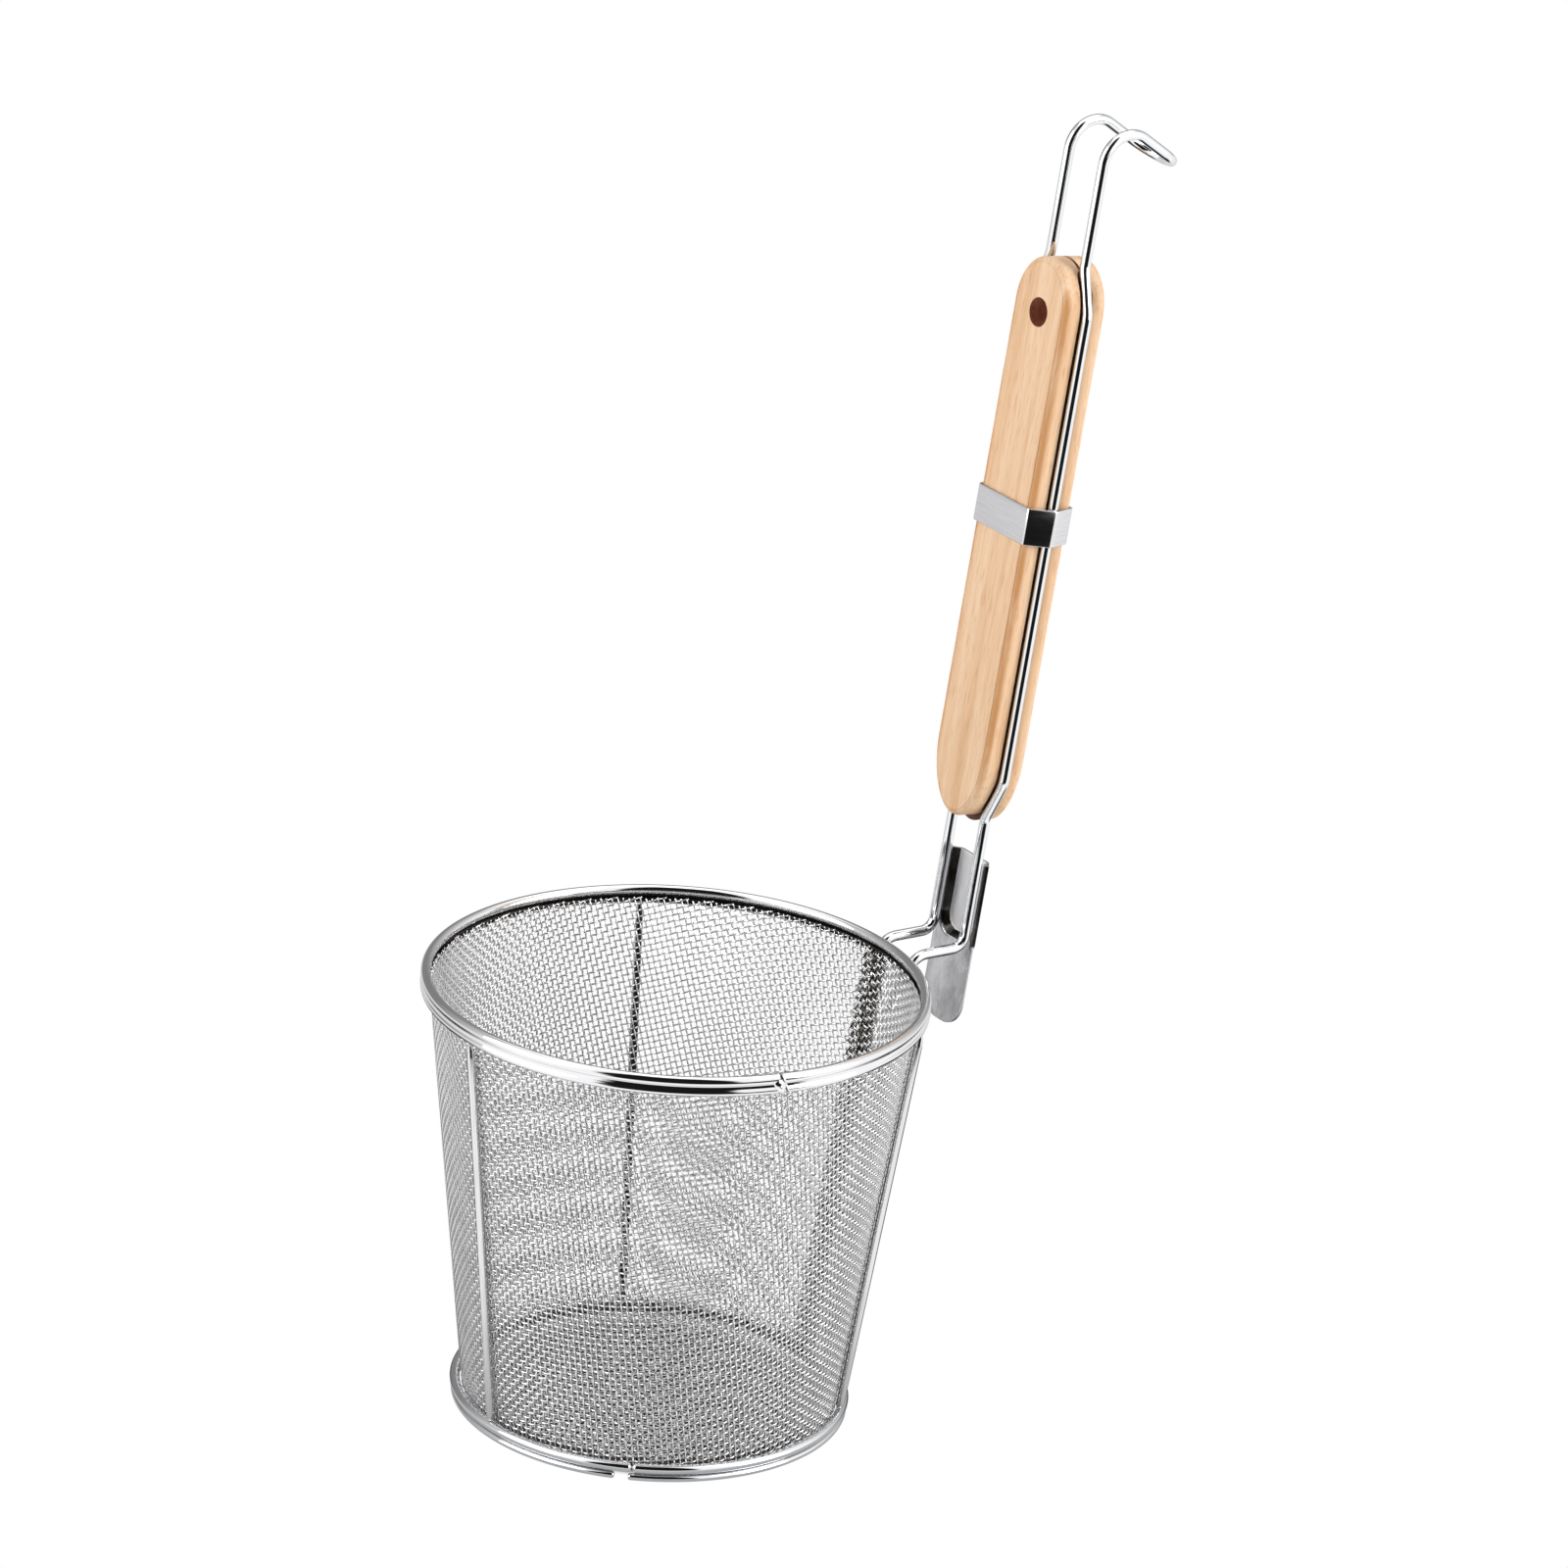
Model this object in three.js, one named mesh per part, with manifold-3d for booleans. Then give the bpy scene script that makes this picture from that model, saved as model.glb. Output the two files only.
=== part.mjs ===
// Noodle strainer basket: a cone of wire cloth between a rolled rim and two base rings, braced by four ribs.
// One bent wire makes the handle. It carries a pressed rest plate, two wooden grip halves and a folded band,
// and ends in a hook. Millimetres and degrees, +Z up, standing on the foot ring, handle towards +X.
import * as THREE from 'three';
import { mergeVertices } from 'three/addons/utils/BufferGeometryUtils.js';
import Module from 'manifold-3d';

const wasm = await Module();
wasm.setup();

// Gap that is left between pieces that touch.
const CLEARANCE = 0.3;

// Rim: a strip rolled into an upper bead over a core wire, a pinched groove and a lower bead.
const RIM_OUTER_RADIUS = 70;
const BASKET_HEIGHT = 126.1;
const RIM_SHEET = 0.4;
const RIM_CORE_DIAMETER = 1.5;
const RIM_LOWER_BEAD_DIAMETER = 2.4;
const RIM_PINCH_HEIGHT = 1.18;
const RIM_JOINT_WIDTH = 0.4;
const RIM_JOINT_AZIMUTH = -97.6;

// Base ring with its butt joint, and the open foot ring below it, worn flat where it stands.
const BASE_RING_RADIUS = 54.3;
const BASE_RING_DIAMETER = 2.8;
const BASE_JOINT_WIDTH = 0.4;
const BASE_JOINT_AZIMUTH = -127.5;
const FOOT_RING_DIAMETER = 2;
const FOOT_FLAT_DEPTH = 0.1;
const FOOT_OPENING_WIDTH = 3.8;
const FOOT_OPENING_AZIMUTH = -130.5;

// Wire cloth, drawn as a coarse net: the bars carry about the weight of the fine weave.
const CLOTH_THICKNESS = 0.8;
const WALL_COLUMNS = 28;
const WALL_ROWS = 8;
const WALL_BAR_WIDTH = 1.3;
const BASE_CELL_PITCH = 9.7;
const BASE_BAR_WIDTH = 1.3;
const BASE_HEM_WIDTH = 1.6;
const BASE_WEAVE_TURN = 45;

// Ribs on the outside of the cone.
const RIB_DIAMETER = 2.3;
const RIB_TIP_LENGTH = 3;
const RIB_AZIMUTHS = { rib_seam: 0, rib_back: 65.7, rib_left: 183.8, rib_right: -45.5 };

// Handle wire. Its heights are counted along the leaning handle from the level of the upper bead.
const WIRE_DIAMETER = 3;
const HANDLE_OFFSET = 20.6;
const HANDLE_TILT = 6.45;
const LEG_REACH = 4.2;
const LEG_BEND = 6;
const SHOULDER_DROP = 1.8;
const SHOULDER_BEND = 4;
const NECK_SPACING = 14.9;
const NECK_WINDOW = 12.8;
const KINK_LENGTH = 12;
const KINK_SINK = 1;
const KINK_BEND = 8;
const WIRE_SHOWING = 0.8;
const HOOK_SPACING = 16;
const HOOK_STEM = 28.4;
const HOOK_BEND = 8.5;
const HOOK_ANGLE = 35;
const HOOK_STRAIGHT = 8.5;

// Rest plate: a flat tongue below, and above it a pressed trough between two ridges that back the wires, with
// its edges bent away from them.
const PLATE_SHEET = 0.7;
const PLATE_HEIGHT = 22.6;
const TONGUE_LENGTH = 26;
const TONGUE_CORNER = 7.5;
const TROUGH_SINK = 1.2;
const TROUGH_DEPTH = 2.6;
const TROUGH_SLOPE = 1.6;
const TROUGH_MARGIN = 0.5;
const RIDGE_FLAT = 0.5;
const EDGE_ANGLE = 50;
const EDGE_LENGTH = 1.1;

// Wooden grip halves and the band folded round them.
const GRIP_LENGTH = 160.6;
const GRIP_WIDTH = 24;
const GRIP_THICKNESS = 13.8;
const GRIP_PARTING = 0.4;
const GRIP_UPPER_END = 14;
const GRIP_LOWER_END = 20;
const GRIP_EDGE_ROUND = 1.6;
const HANG_HOLE_DIAMETER = 8.2;
const HANG_HOLE_FROM_END = 15.5;
const BAND_SHEET = 0.4;
const BAND_WIDTH = 10.5;
const BAND_FROM_MIDDLE = 7.15;
const BAND_CORNER_INSET = 0.3;

// Facets
const RING_SEGMENTS = 56;
const WIRE_SIDES = 10;
const BEND_STEP = 22.5;

const STEEL_POLISHED = { color: 0xd9dadb, roughness: 0.14, metalness: 1 };
const STEEL_SATIN = { color: 0xc4c4c3, roughness: 0.36, metalness: 1 };
const STEEL_CLOTH = { color: 0xb9b8b8, roughness: 0.42, metalness: 1 };
const STEEL_PRESSED = { color: 0xb2b1b2, roughness: 0.3, metalness: 1 };
const BEECH = { color: 0xdeb88d, roughness: 0.55, metalness: 0 };

const radians = THREE.MathUtils.degToRad;
const object = new THREE.Group();

// Adds one named piece to a group.
function addPiece(group, name, geometry, look) {
  const mesh = new THREE.Mesh(geometry, new THREE.MeshStandardMaterial(look));
  mesh.name = name;
  group.add(mesh);
  return mesh;
}

// A closed geometry as a solid for joining and cutting.
function toSolid(geometry) {
  const bare = new THREE.BufferGeometry();
  bare.setAttribute('position', geometry.getAttribute('position').clone());
  if (geometry.index) bare.setIndex(geometry.index.clone());
  const merged = mergeVertices(bare, 1e-4);
  return new wasm.Manifold(new wasm.Mesh({
    numProp: 3,
    vertProperties: new Float32Array(merged.getAttribute('position').array),
    triVerts: new Uint32Array(merged.index.array),
  }));
}

function toGeometry(solid) {
  const mesh = solid.getMesh();
  const geometry = new THREE.BufferGeometry();
  geometry.setAttribute('position', new THREE.BufferAttribute(new Float32Array(mesh.vertProperties), 3));
  geometry.setIndex(new THREE.BufferAttribute(new Uint32Array(mesh.triVerts), 1));
  geometry.computeVertexNormals();
  return geometry;
}

// Points on an arc, both ends included; the direction follows from the two angles.
function arcPoints(x, y, radius, from, to, step = 26) {
  const count = Math.max(1, Math.round(Math.abs(to - from) / step));
  const points = [];
  for (let i = 0; i <= count; i += 1) {
    const angle = radians(from + ((to - from) * i) / count);
    points.push(new THREE.Vector2(x + radius * Math.cos(angle), y + radius * Math.sin(angle)));
  }
  return points;
}

function leftNormal(from, to) {
  return new THREE.Vector2(from.y - to.y, to.x - from.x).normalize();
}

// Corner offset between two edges that keeps both edges at the given distance.
function mitre(normalA, normalB, distance) {
  return normalA.clone().add(normalB).multiplyScalar(distance / (1 + normalA.dot(normalB)));
}

// Closed outline, counter-clockwise, of a strip of even thickness that follows a bent mid-line.
function stripOutline(midline, thickness) {
  const right = [];
  const left = [];
  const last = midline.length - 1;
  midline.forEach((point, i) => {
    const before = leftNormal(midline[Math.max(i - 1, 0)], midline[Math.max(i, 1)]);
    const after = leftNormal(midline[Math.min(i, last - 1)], midline[Math.min(i + 1, last)]);
    const offset = mitre(before, after, thickness / 2);
    right.push(point.clone().sub(offset));
    left.unshift(point.clone().add(offset));
  });
  return [...right, ...left];
}

// A counter-clockwise loop grown outwards by an even distance.
function grownLoop(loop, distance) {
  const count = loop.length;
  return loop.map((point, i) => {
    const before = leftNormal(loop[(i + count - 1) % count], point);
    const after = leftNormal(point, loop[(i + 1) % count]);
    return point.clone().sub(mitre(before, after, distance));
  });
}

// A ring about the Z axis from a counter-clockwise section of radius and height.
function ringGeometry(section) {
  const profile = [...section, section[0].clone()];
  return new THREE.LatheGeometry(profile, RING_SEGMENTS).rotateX(Math.PI / 2);
}

// A box that cuts across a ring at an azimuth.
function joinCutter(radius, azimuth, reach, width, z, height) {
  const cutter = new THREE.BoxGeometry(2 * reach, width, height);
  cutter.translate(radius, 0, z);
  return cutter.rotateZ(radians(azimuth));
}

// Rim
const coreRadius = RIM_CORE_DIAMETER / 2;
const beadMid = coreRadius + CLEARANCE + RIM_SHEET / 2;
const beadOuter = beadMid + RIM_SHEET / 2;
const beadRadius = RIM_OUTER_RADIUS - beadOuter;
const beadZ = BASKET_HEIGHT - beadOuter;
const lowerOuter = RIM_LOWER_BEAD_DIAMETER / 2;
const lowerMid = lowerOuter - RIM_SHEET / 2;
const lowerRadius = RIM_OUTER_RADIUS - lowerOuter;
const pinchAngle = 50;
const tuckAngle = 140;
const lowerZ = beadZ - (beadMid + lowerMid) * Math.sin(radians(pinchAngle)) - RIM_PINCH_HEIGHT;
const rimBottom = lowerZ - lowerOuter;
const rimMidline = [
  ...arcPoints(beadRadius, beadZ, beadMid, 210, -pinchAngle),
  ...arcPoints(lowerRadius, lowerZ, lowerMid, pinchAngle, -tuckAngle),
];
const rimRing = toSolid(ringGeometry(stripOutline(rimMidline, RIM_SHEET)));
const rimCut = joinCutter(RIM_OUTER_RADIUS, RIM_JOINT_AZIMUTH, 4 * beadOuter, RIM_JOINT_WIDTH,
  (BASKET_HEIGHT + rimBottom) / 2, BASKET_HEIGHT - rimBottom + 2);
addPiece(object, 'rim_band', toGeometry(rimRing.subtract(toSolid(rimCut))), STEEL_POLISHED);
addPiece(object, 'rim_wire', ringGeometry(arcPoints(beadRadius, beadZ, coreRadius, 0, 315, 45)), STEEL_SATIN);

// Foot ring, and the base ring that rests on it.
const footRadius = FOOT_RING_DIAMETER / 2;
const footZ = footRadius - FOOT_FLAT_DEPTH;
const flatAngle = THREE.MathUtils.radToDeg(Math.asin(footZ / footRadius));
const footSection = arcPoints(BASE_RING_RADIUS, footZ, footRadius, -flatAngle, 180 + flatAngle, 36);
const footCut = joinCutter(BASE_RING_RADIUS, FOOT_OPENING_AZIMUTH, 2 * FOOT_RING_DIAMETER,
  FOOT_OPENING_WIDTH, footZ, 2 * FOOT_RING_DIAMETER);
addPiece(object, 'foot_ring', toGeometry(toSolid(ringGeometry(footSection)).subtract(toSolid(footCut))),
  STEEL_POLISHED);
const baseRadius = BASE_RING_DIAMETER / 2;
const baseZ = footZ + footRadius + CLEARANCE + baseRadius;
const baseSection = arcPoints(BASE_RING_RADIUS, baseZ, baseRadius, 0, 324, 36);
const baseCut = joinCutter(BASE_RING_RADIUS, BASE_JOINT_AZIMUTH, 2 * BASE_RING_DIAMETER,
  BASE_JOINT_WIDTH, baseZ, 2 * BASE_RING_DIAMETER);
addPiece(object, 'base_ring', toGeometry(toSolid(ringGeometry(baseSection)).subtract(toSolid(baseCut))),
  STEEL_POLISHED);

// Cone of cloth: inside the base ring at the bottom and inside the lower bead at the top.
const wallTop = beadZ - beadOuter - CLEARANCE;
const wallBottom = baseZ - baseRadius;
const wallTopRadius = lowerRadius - lowerOuter * Math.cos(radians(180 - tuckAngle)) - CLEARANCE;
const wallSeatRadius = (BASE_RING_RADIUS - baseRadius) * Math.cos(Math.PI / RING_SEGMENTS) - CLEARANCE;
const wallSlope = (wallTopRadius - wallSeatRadius) / (wallTop - baseZ);
const wallOuter = (z) => wallSeatRadius + wallSlope * (z - baseZ);
const wallLevel = (row) => wallBottom + ((wallTop - wallBottom - WALL_BAR_WIDTH) * row) / WALL_ROWS;

// A net on a cone: upright bars and level bars on one grid of points, with open cells between them.
function coneNet(columns, rows, bar, thickness) {
  const levels = [];
  for (let row = 0; row <= rows; row += 1) levels.push(wallLevel(row), wallLevel(row) + bar);
  const sides = 2 * columns;
  const height = levels.length;
  const barAngle = bar / wallOuter((wallBottom + wallTop) / 2);
  const positions = [];
  for (let side = 0; side < sides; side += 1) {
    const middle = (2 * Math.PI * (Math.floor(side / 2) + 0.5)) / columns;
    const turn = middle + (side % 2 === 0 ? -barAngle : barAngle) / 2;
    for (const z of levels) {
      for (const inset of [0, thickness]) {
        const radius = wallOuter(z) - inset;
        positions.push(radius * Math.cos(turn), radius * Math.sin(turn), z);
      }
    }
  }
  const vertex = (side, level, layer) => (((side + sides) % sides) * height + level) * 2 + layer;
  const isBar = (side, level) => level >= 0 && level < height - 1
    && (((side + sides) % sides) % 2 === 0 || level % 2 === 0);
  const index = [];
  const quad = (a, b, c, d) => index.push(a, b, c, a, c, d);
  for (let side = 0; side < sides; side += 1) {
    for (let level = 0; level < height - 1; level += 1) {
      if (!isBar(side, level)) continue;
      const next = side + 1;
      const up = level + 1;
      quad(vertex(side, level, 0), vertex(next, level, 0), vertex(next, up, 0), vertex(side, up, 0));
      quad(vertex(side, level, 1), vertex(side, up, 1), vertex(next, up, 1), vertex(next, level, 1));
      if (!isBar(side, level - 1)) {
        quad(vertex(side, level, 0), vertex(side, level, 1), vertex(next, level, 1), vertex(next, level, 0));
      }
      if (!isBar(side, up)) {
        quad(vertex(side, up, 0), vertex(next, up, 0), vertex(next, up, 1), vertex(side, up, 1));
      }
      if (!isBar(side - 1, level)) {
        quad(vertex(side, level, 0), vertex(side, up, 0), vertex(side, up, 1), vertex(side, level, 1));
      }
      if (!isBar(next, level)) {
        quad(vertex(next, level, 0), vertex(next, level, 1), vertex(next, up, 1), vertex(next, up, 0));
      }
    }
  }
  const geometry = new THREE.BufferGeometry();
  geometry.setAttribute('position', new THREE.Float32BufferAttribute(positions, 3));
  geometry.setIndex(index);
  geometry.computeVertexNormals();
  return geometry;
}
addPiece(object, 'wall_mesh', coneNet(WALL_COLUMNS, WALL_ROWS, WALL_BAR_WIDTH, CLOTH_THICKNESS), STEEL_CLOTH);

// Disc of cloth inside the foot of the cone, level with the base ring.
const discBottom = baseZ - CLOTH_THICKNESS / 2;
const discRadius = (wallOuter(discBottom) - CLOTH_THICKNESS) * Math.cos(Math.PI / WALL_COLUMNS) - CLEARANCE;
const discGeometry = new THREE.CylinderGeometry(discRadius, discRadius, CLOTH_THICKNESS, RING_SEGMENTS);
const discReach = Math.floor(discRadius / BASE_CELL_PITCH);
const cellSide = BASE_CELL_PITCH - BASE_BAR_WIDTH;
let disc = toSolid(discGeometry.rotateX(Math.PI / 2));
for (let column = -discReach; column <= discReach; column += 1) {
  for (let row = -discReach; row <= discReach; row += 1) {
    const corner = Math.hypot(Math.abs(column) * BASE_CELL_PITCH + cellSide / 2,
      Math.abs(row) * BASE_CELL_PITCH + cellSide / 2);
    if (corner > discRadius - BASE_HEM_WIDTH) continue;
    const cell = new THREE.BoxGeometry(cellSide, cellSide, 2 * CLOTH_THICKNESS);
    cell.translate(column * BASE_CELL_PITCH, row * BASE_CELL_PITCH, 0);
    disc = disc.subtract(toSolid(cell));
  }
}
const baseMesh = addPiece(object, 'base_mesh', toGeometry(disc), STEEL_CLOTH);
baseMesh.position.z = baseZ;
baseMesh.rotation.z = radians(BASE_WEAVE_TURN);

// Ribs: they stand on the base ring, lie along the cone and end in a point under the lower bead.
const ribRadius = RIB_DIAMETER / 2;
const ribFoot = new THREE.Vector2(0, baseZ + baseRadius + CLEARANCE);
const ribHead = new THREE.Vector2(0, rimBottom - CLEARANCE);
for (const end of [ribFoot, ribHead]) end.x = wallOuter(end.y) + CLEARANCE + ribRadius;
const ribLength = ribHead.distanceTo(ribFoot);
const ribProfile = [
  new THREE.Vector2(0, 0),
  new THREE.Vector2(ribRadius, 0),
  new THREE.Vector2(ribRadius, ribLength - RIB_TIP_LENGTH),
  new THREE.Vector2(ribRadius * 0.4, ribLength),
  new THREE.Vector2(0, ribLength),
];
const ribLean = Math.atan2(ribHead.x - ribFoot.x, ribHead.y - ribFoot.y);
for (const [name, azimuth] of Object.entries(RIB_AZIMUTHS)) {
  const side = new THREE.Group();
  side.rotation.z = radians(azimuth);
  const rib = new THREE.LatheGeometry(ribProfile, WIRE_SIDES).rotateX(Math.PI / 2);
  const piece = addPiece(side, name, rib, STEEL_SATIN);
  piece.position.set(ribFoot.x, 0, ribFoot.y);
  piece.rotation.y = ribLean;
  object.add(side);
}

// Handle frame: X away from the basket, Y across, Z up along the leaning handle from the upper bead's level.
const tilt = radians(HANDLE_TILT);
const handleX = RIM_OUTER_RADIUS + HANDLE_OFFSET;
const handle = new THREE.Group();
handle.position.set(handleX, 0, beadZ);
handle.rotation.y = tilt;
object.add(handle);

// A point of the upright frame, in the handle frame.
function fromBasket(x, y, z) {
  const out = x - handleX;
  const up = z - beadZ;
  return new THREE.Vector3(
    out * Math.cos(tilt) - up * Math.sin(tilt),
    y,
    out * Math.sin(tilt) + up * Math.cos(tilt),
  );
}

// A wire path through corners with round bends: sections stand only at its ends and along its bends.
class BentWire extends THREE.Curve {
  constructor(corners) {
    super();
    this.points = [];
    this.tangents = [];
    corners.forEach(({ at, bend }, i) => {
      const before = i > 0 ? at.clone().sub(corners[i - 1].at).normalize() : null;
      const after = i < corners.length - 1 ? corners[i + 1].at.clone().sub(at).normalize() : null;
      if (!before || !after) {
        this.addSection(at, before || after);
        return;
      }
      const turn = before.angleTo(after);
      const setback = bend * Math.tan(turn / 2);
      const start = at.clone().addScaledVector(before, -setback);
      const inward = after.clone().addScaledVector(before, -after.dot(before)).normalize();
      const count = Math.max(2, Math.ceil(turn / radians(BEND_STEP)));
      for (let k = 0; k <= count; k += 1) {
        const angle = (turn * k) / count;
        const point = start.clone()
          .addScaledVector(before, bend * Math.sin(angle))
          .addScaledVector(inward, bend * (1 - Math.cos(angle)));
        const tangent = before.clone().multiplyScalar(Math.cos(angle))
          .addScaledVector(inward, Math.sin(angle));
        this.addSection(point, tangent);
      }
    });
  }

  addSection(point, tangent) {
    const last = this.points[this.points.length - 1];
    if (last && last.distanceTo(point) < 1e-3) return;
    this.points.push(point.clone());
    this.tangents.push(tangent.clone());
  }

  getSpacedPoints() {
    return this.points;
  }

  getPoint(u) {
    return this.points[Math.round(u * (this.points.length - 1))].clone();
  }

  getTangentAt(u) {
    return this.tangents[Math.round(u * (this.tangents.length - 1))].clone();
  }
}

function wireGeometry(path, radius) {
  const section = new THREE.Shape(arcPoints(0, 0, radius, 0, 360 - 360 / WIRE_SIDES, 360 / WIRE_SIDES));
  return new THREE.ExtrudeGeometry(section, { steps: path.points.length - 1, extrudePath: path });
}

// Handle wire
const wireRadius = WIRE_DIAMETER / 2;
const neckHalf = NECK_SPACING / 2;
const hookHalf = HOOK_SPACING / 2;
const gripHalf = GRIP_WIDTH / 2;
const gripWireHalf = gripHalf + WIRE_SHOWING;
const gripStart = PLATE_HEIGHT + NECK_WINDOW;
const gripEnd = gripStart + GRIP_LENGTH;
const legZ = wallLevel(WALL_ROWS - 1) + WALL_BAR_WIDTH / 2;
const legRadius = wallOuter(legZ) + CLEARANCE + wireRadius;
const shoulderZ = beadZ - SHOULDER_DROP;
const hookTurn = Math.PI / 2 - tilt + radians(HOOK_ANGLE);
const hookSetback = HOOK_BEND * Math.tan(hookTurn / 2);
const hookTop = new THREE.Vector3(0, 0, gripEnd + HOOK_STEM + hookSetback);
const hookDirection = new THREE.Vector3(Math.sin(hookTurn), 0, Math.cos(hookTurn));
const hookTip = hookTop.clone().addScaledVector(hookDirection, hookSetback + HOOK_STRAIGHT + hookHalf);
const gripCorners = [
  { at: new THREE.Vector3(0, neckHalf, gripStart + KINK_SINK), bend: KINK_BEND },
  { at: new THREE.Vector3(0, gripWireHalf, gripStart + KINK_SINK + KINK_LENGTH), bend: KINK_BEND },
  { at: new THREE.Vector3(0, gripWireHalf, gripEnd - KINK_SINK - KINK_LENGTH), bend: KINK_BEND },
  { at: new THREE.Vector3(0, hookHalf, gripEnd - KINK_SINK), bend: KINK_BEND },
];
const halfWire = [
  { at: fromBasket(Math.sqrt(legRadius ** 2 - neckHalf ** 2), neckHalf, legZ), bend: 0 },
  { at: fromBasket(RIM_OUTER_RADIUS + LEG_REACH, neckHalf, shoulderZ), bend: LEG_BEND },
  { at: new THREE.Vector3(0, neckHalf, -SHOULDER_DROP / Math.cos(tilt)), bend: SHOULDER_BEND },
  ...gripCorners,
  { at: hookTop.clone().setY(hookHalf), bend: HOOK_BEND },
  { at: hookTip.clone().setY(hookHalf), bend: hookHalf },
];
const mirrored = ({ at, bend }) => ({ at: at.clone().setY(-at.y), bend });
const wirePath = new BentWire([...halfWire, ...halfWire.map(mirrored).reverse()]);
addPiece(handle, 'handle_wire', wireGeometry(wirePath, wireRadius), STEEL_POLISHED);

// Turns an outline drawn across and along the handle, with its depth, to face away from the basket.
const faceOut = new THREE.Matrix4().makeBasis(
  new THREE.Vector3(0, 1, 0),
  new THREE.Vector3(0, 0, 1),
  new THREE.Vector3(1, 0, 0),
);

// Rest plate: tongue, pressed section and the wall that closes the trough below.
const plateFront = wireRadius + CLEARANCE;
const plateHalf = neckHalf + plateFront;
const sheetMid = plateFront + PLATE_SHEET / 2;
const floorMid = sheetMid + TROUGH_DEPTH;
const troughEdge = neckHalf + TROUGH_MARGIN;
const floorHalf = troughEdge - TROUGH_SLOPE;
const tongueEnd = TONGUE_CORNER - TONGUE_LENGTH;
const tongueShape = new THREE.Shape()
  .moveTo(plateHalf, -TROUGH_SINK)
  .lineTo(-plateHalf, -TROUGH_SINK)
  .lineTo(-plateHalf, tongueEnd)
  .absarc(TONGUE_CORNER - plateHalf, tongueEnd, TONGUE_CORNER, Math.PI, 1.5 * Math.PI)
  .absarc(plateHalf - TONGUE_CORNER, tongueEnd, TONGUE_CORNER, 1.5 * Math.PI, 2 * Math.PI);
const tongue = new THREE.ExtrudeGeometry(tongueShape,
  { depth: PLATE_SHEET, bevelEnabled: false, curveSegments: 8 });
tongue.translate(0, 0, plateFront).applyMatrix4(faceOut);
const ridgeEdge = troughEdge + RIDGE_FLAT;
const edgeTurn = THREE.MathUtils.degToRad(EDGE_ANGLE);
const halfSection = [
  new THREE.Vector2(sheetMid + EDGE_LENGTH * Math.sin(edgeTurn), ridgeEdge + EDGE_LENGTH * Math.cos(edgeTurn)),
  new THREE.Vector2(sheetMid, ridgeEdge),
  new THREE.Vector2(sheetMid, troughEdge),
  new THREE.Vector2(floorMid, floorHalf),
];
const opposite = (point) => new THREE.Vector2(point.x, -point.y);
const pressedLine = [...halfSection, ...halfSection.map(opposite).reverse()];
const pressed = new THREE.ExtrudeGeometry(new THREE.Shape(stripOutline(pressedLine, PLATE_SHEET)),
  { depth: PLATE_HEIGHT + TROUGH_SINK + PLATE_SHEET, bevelEnabled: false });
const troughEnd = new THREE.ExtrudeGeometry(new THREE.Shape([
  new THREE.Vector2(plateFront, -troughEdge),
  new THREE.Vector2(floorMid + PLATE_SHEET / 2, -floorHalf),
  new THREE.Vector2(floorMid + PLATE_SHEET / 2, floorHalf),
  new THREE.Vector2(plateFront, troughEdge),
]), { depth: PLATE_SHEET, bevelEnabled: false });
for (const piece of [pressed, troughEnd]) piece.translate(0, 0, -TROUGH_SINK - PLATE_SHEET);
const plate = toSolid(tongue).add(toSolid(pressed)).add(toSolid(troughEnd));
addPiece(handle, 'rest_plate', toGeometry(plate), STEEL_PRESSED);

// Grip half: an oblong with long round ends and eased outer edges, flat at the parting, grooved for the wires.
const upperEnd = gripEnd - GRIP_UPPER_END;
const lowerEnd = gripStart + GRIP_LOWER_END;
const gripShape = new THREE.Shape()
  .moveTo(gripHalf, lowerEnd)
  .lineTo(gripHalf, upperEnd)
  .absellipse(0, upperEnd, gripHalf, GRIP_UPPER_END, 0, Math.PI)
  .lineTo(-gripHalf, lowerEnd)
  .absellipse(0, lowerEnd, gripHalf, GRIP_LOWER_END, Math.PI, 2 * Math.PI);
const gripBlank = new THREE.ExtrudeGeometry(gripShape, {
  depth: GRIP_THICKNESS - 2 * GRIP_EDGE_ROUND,
  bevelThickness: GRIP_EDGE_ROUND,
  bevelSize: GRIP_EDGE_ROUND,
  bevelOffset: -GRIP_EDGE_ROUND,
  bevelSegments: 3,
  curveSegments: 12,
});
gripBlank.translate(0, 0, GRIP_EDGE_ROUND - GRIP_THICKNESS / 2).applyMatrix4(faceOut);
const cutLength = GRIP_LENGTH + 2 * GRIP_WIDTH;
const otherHalf = new THREE.BoxGeometry(GRIP_THICKNESS, 2 * GRIP_WIDTH, cutLength);
otherHalf.translate(GRIP_PARTING / 2 - GRIP_THICKNESS / 2, 0, (gripStart + gripEnd) / 2);
const grooveCorners = [
  { at: new THREE.Vector3(0, neckHalf, gripStart - GRIP_WIDTH / 2), bend: 0 },
  ...gripCorners,
  { at: new THREE.Vector3(0, hookHalf, gripEnd + GRIP_WIDTH / 2), bend: 0 },
];
const hangHole = new THREE.CylinderGeometry(HANG_HOLE_DIAMETER / 2, HANG_HOLE_DIAMETER / 2,
  2 * GRIP_THICKNESS, 24).rotateZ(Math.PI / 2);
hangHole.translate(0, 0, gripEnd - HANG_HOLE_FROM_END);
let grip = toSolid(gripBlank).subtract(toSolid(otherHalf)).subtract(toSolid(hangHole));
for (const corners of [grooveCorners, grooveCorners.map(mirrored)]) {
  grip = grip.subtract(toSolid(wireGeometry(new BentWire(corners), wireRadius + CLEARANCE)));
}
const gripGeometry = toGeometry(grip);
addPiece(handle, 'grip_back', gripGeometry, BEECH);
const gripFront = addPiece(handle, 'grip_front', gripGeometry.clone(), BEECH);
gripFront.rotation.z = Math.PI;

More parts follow.
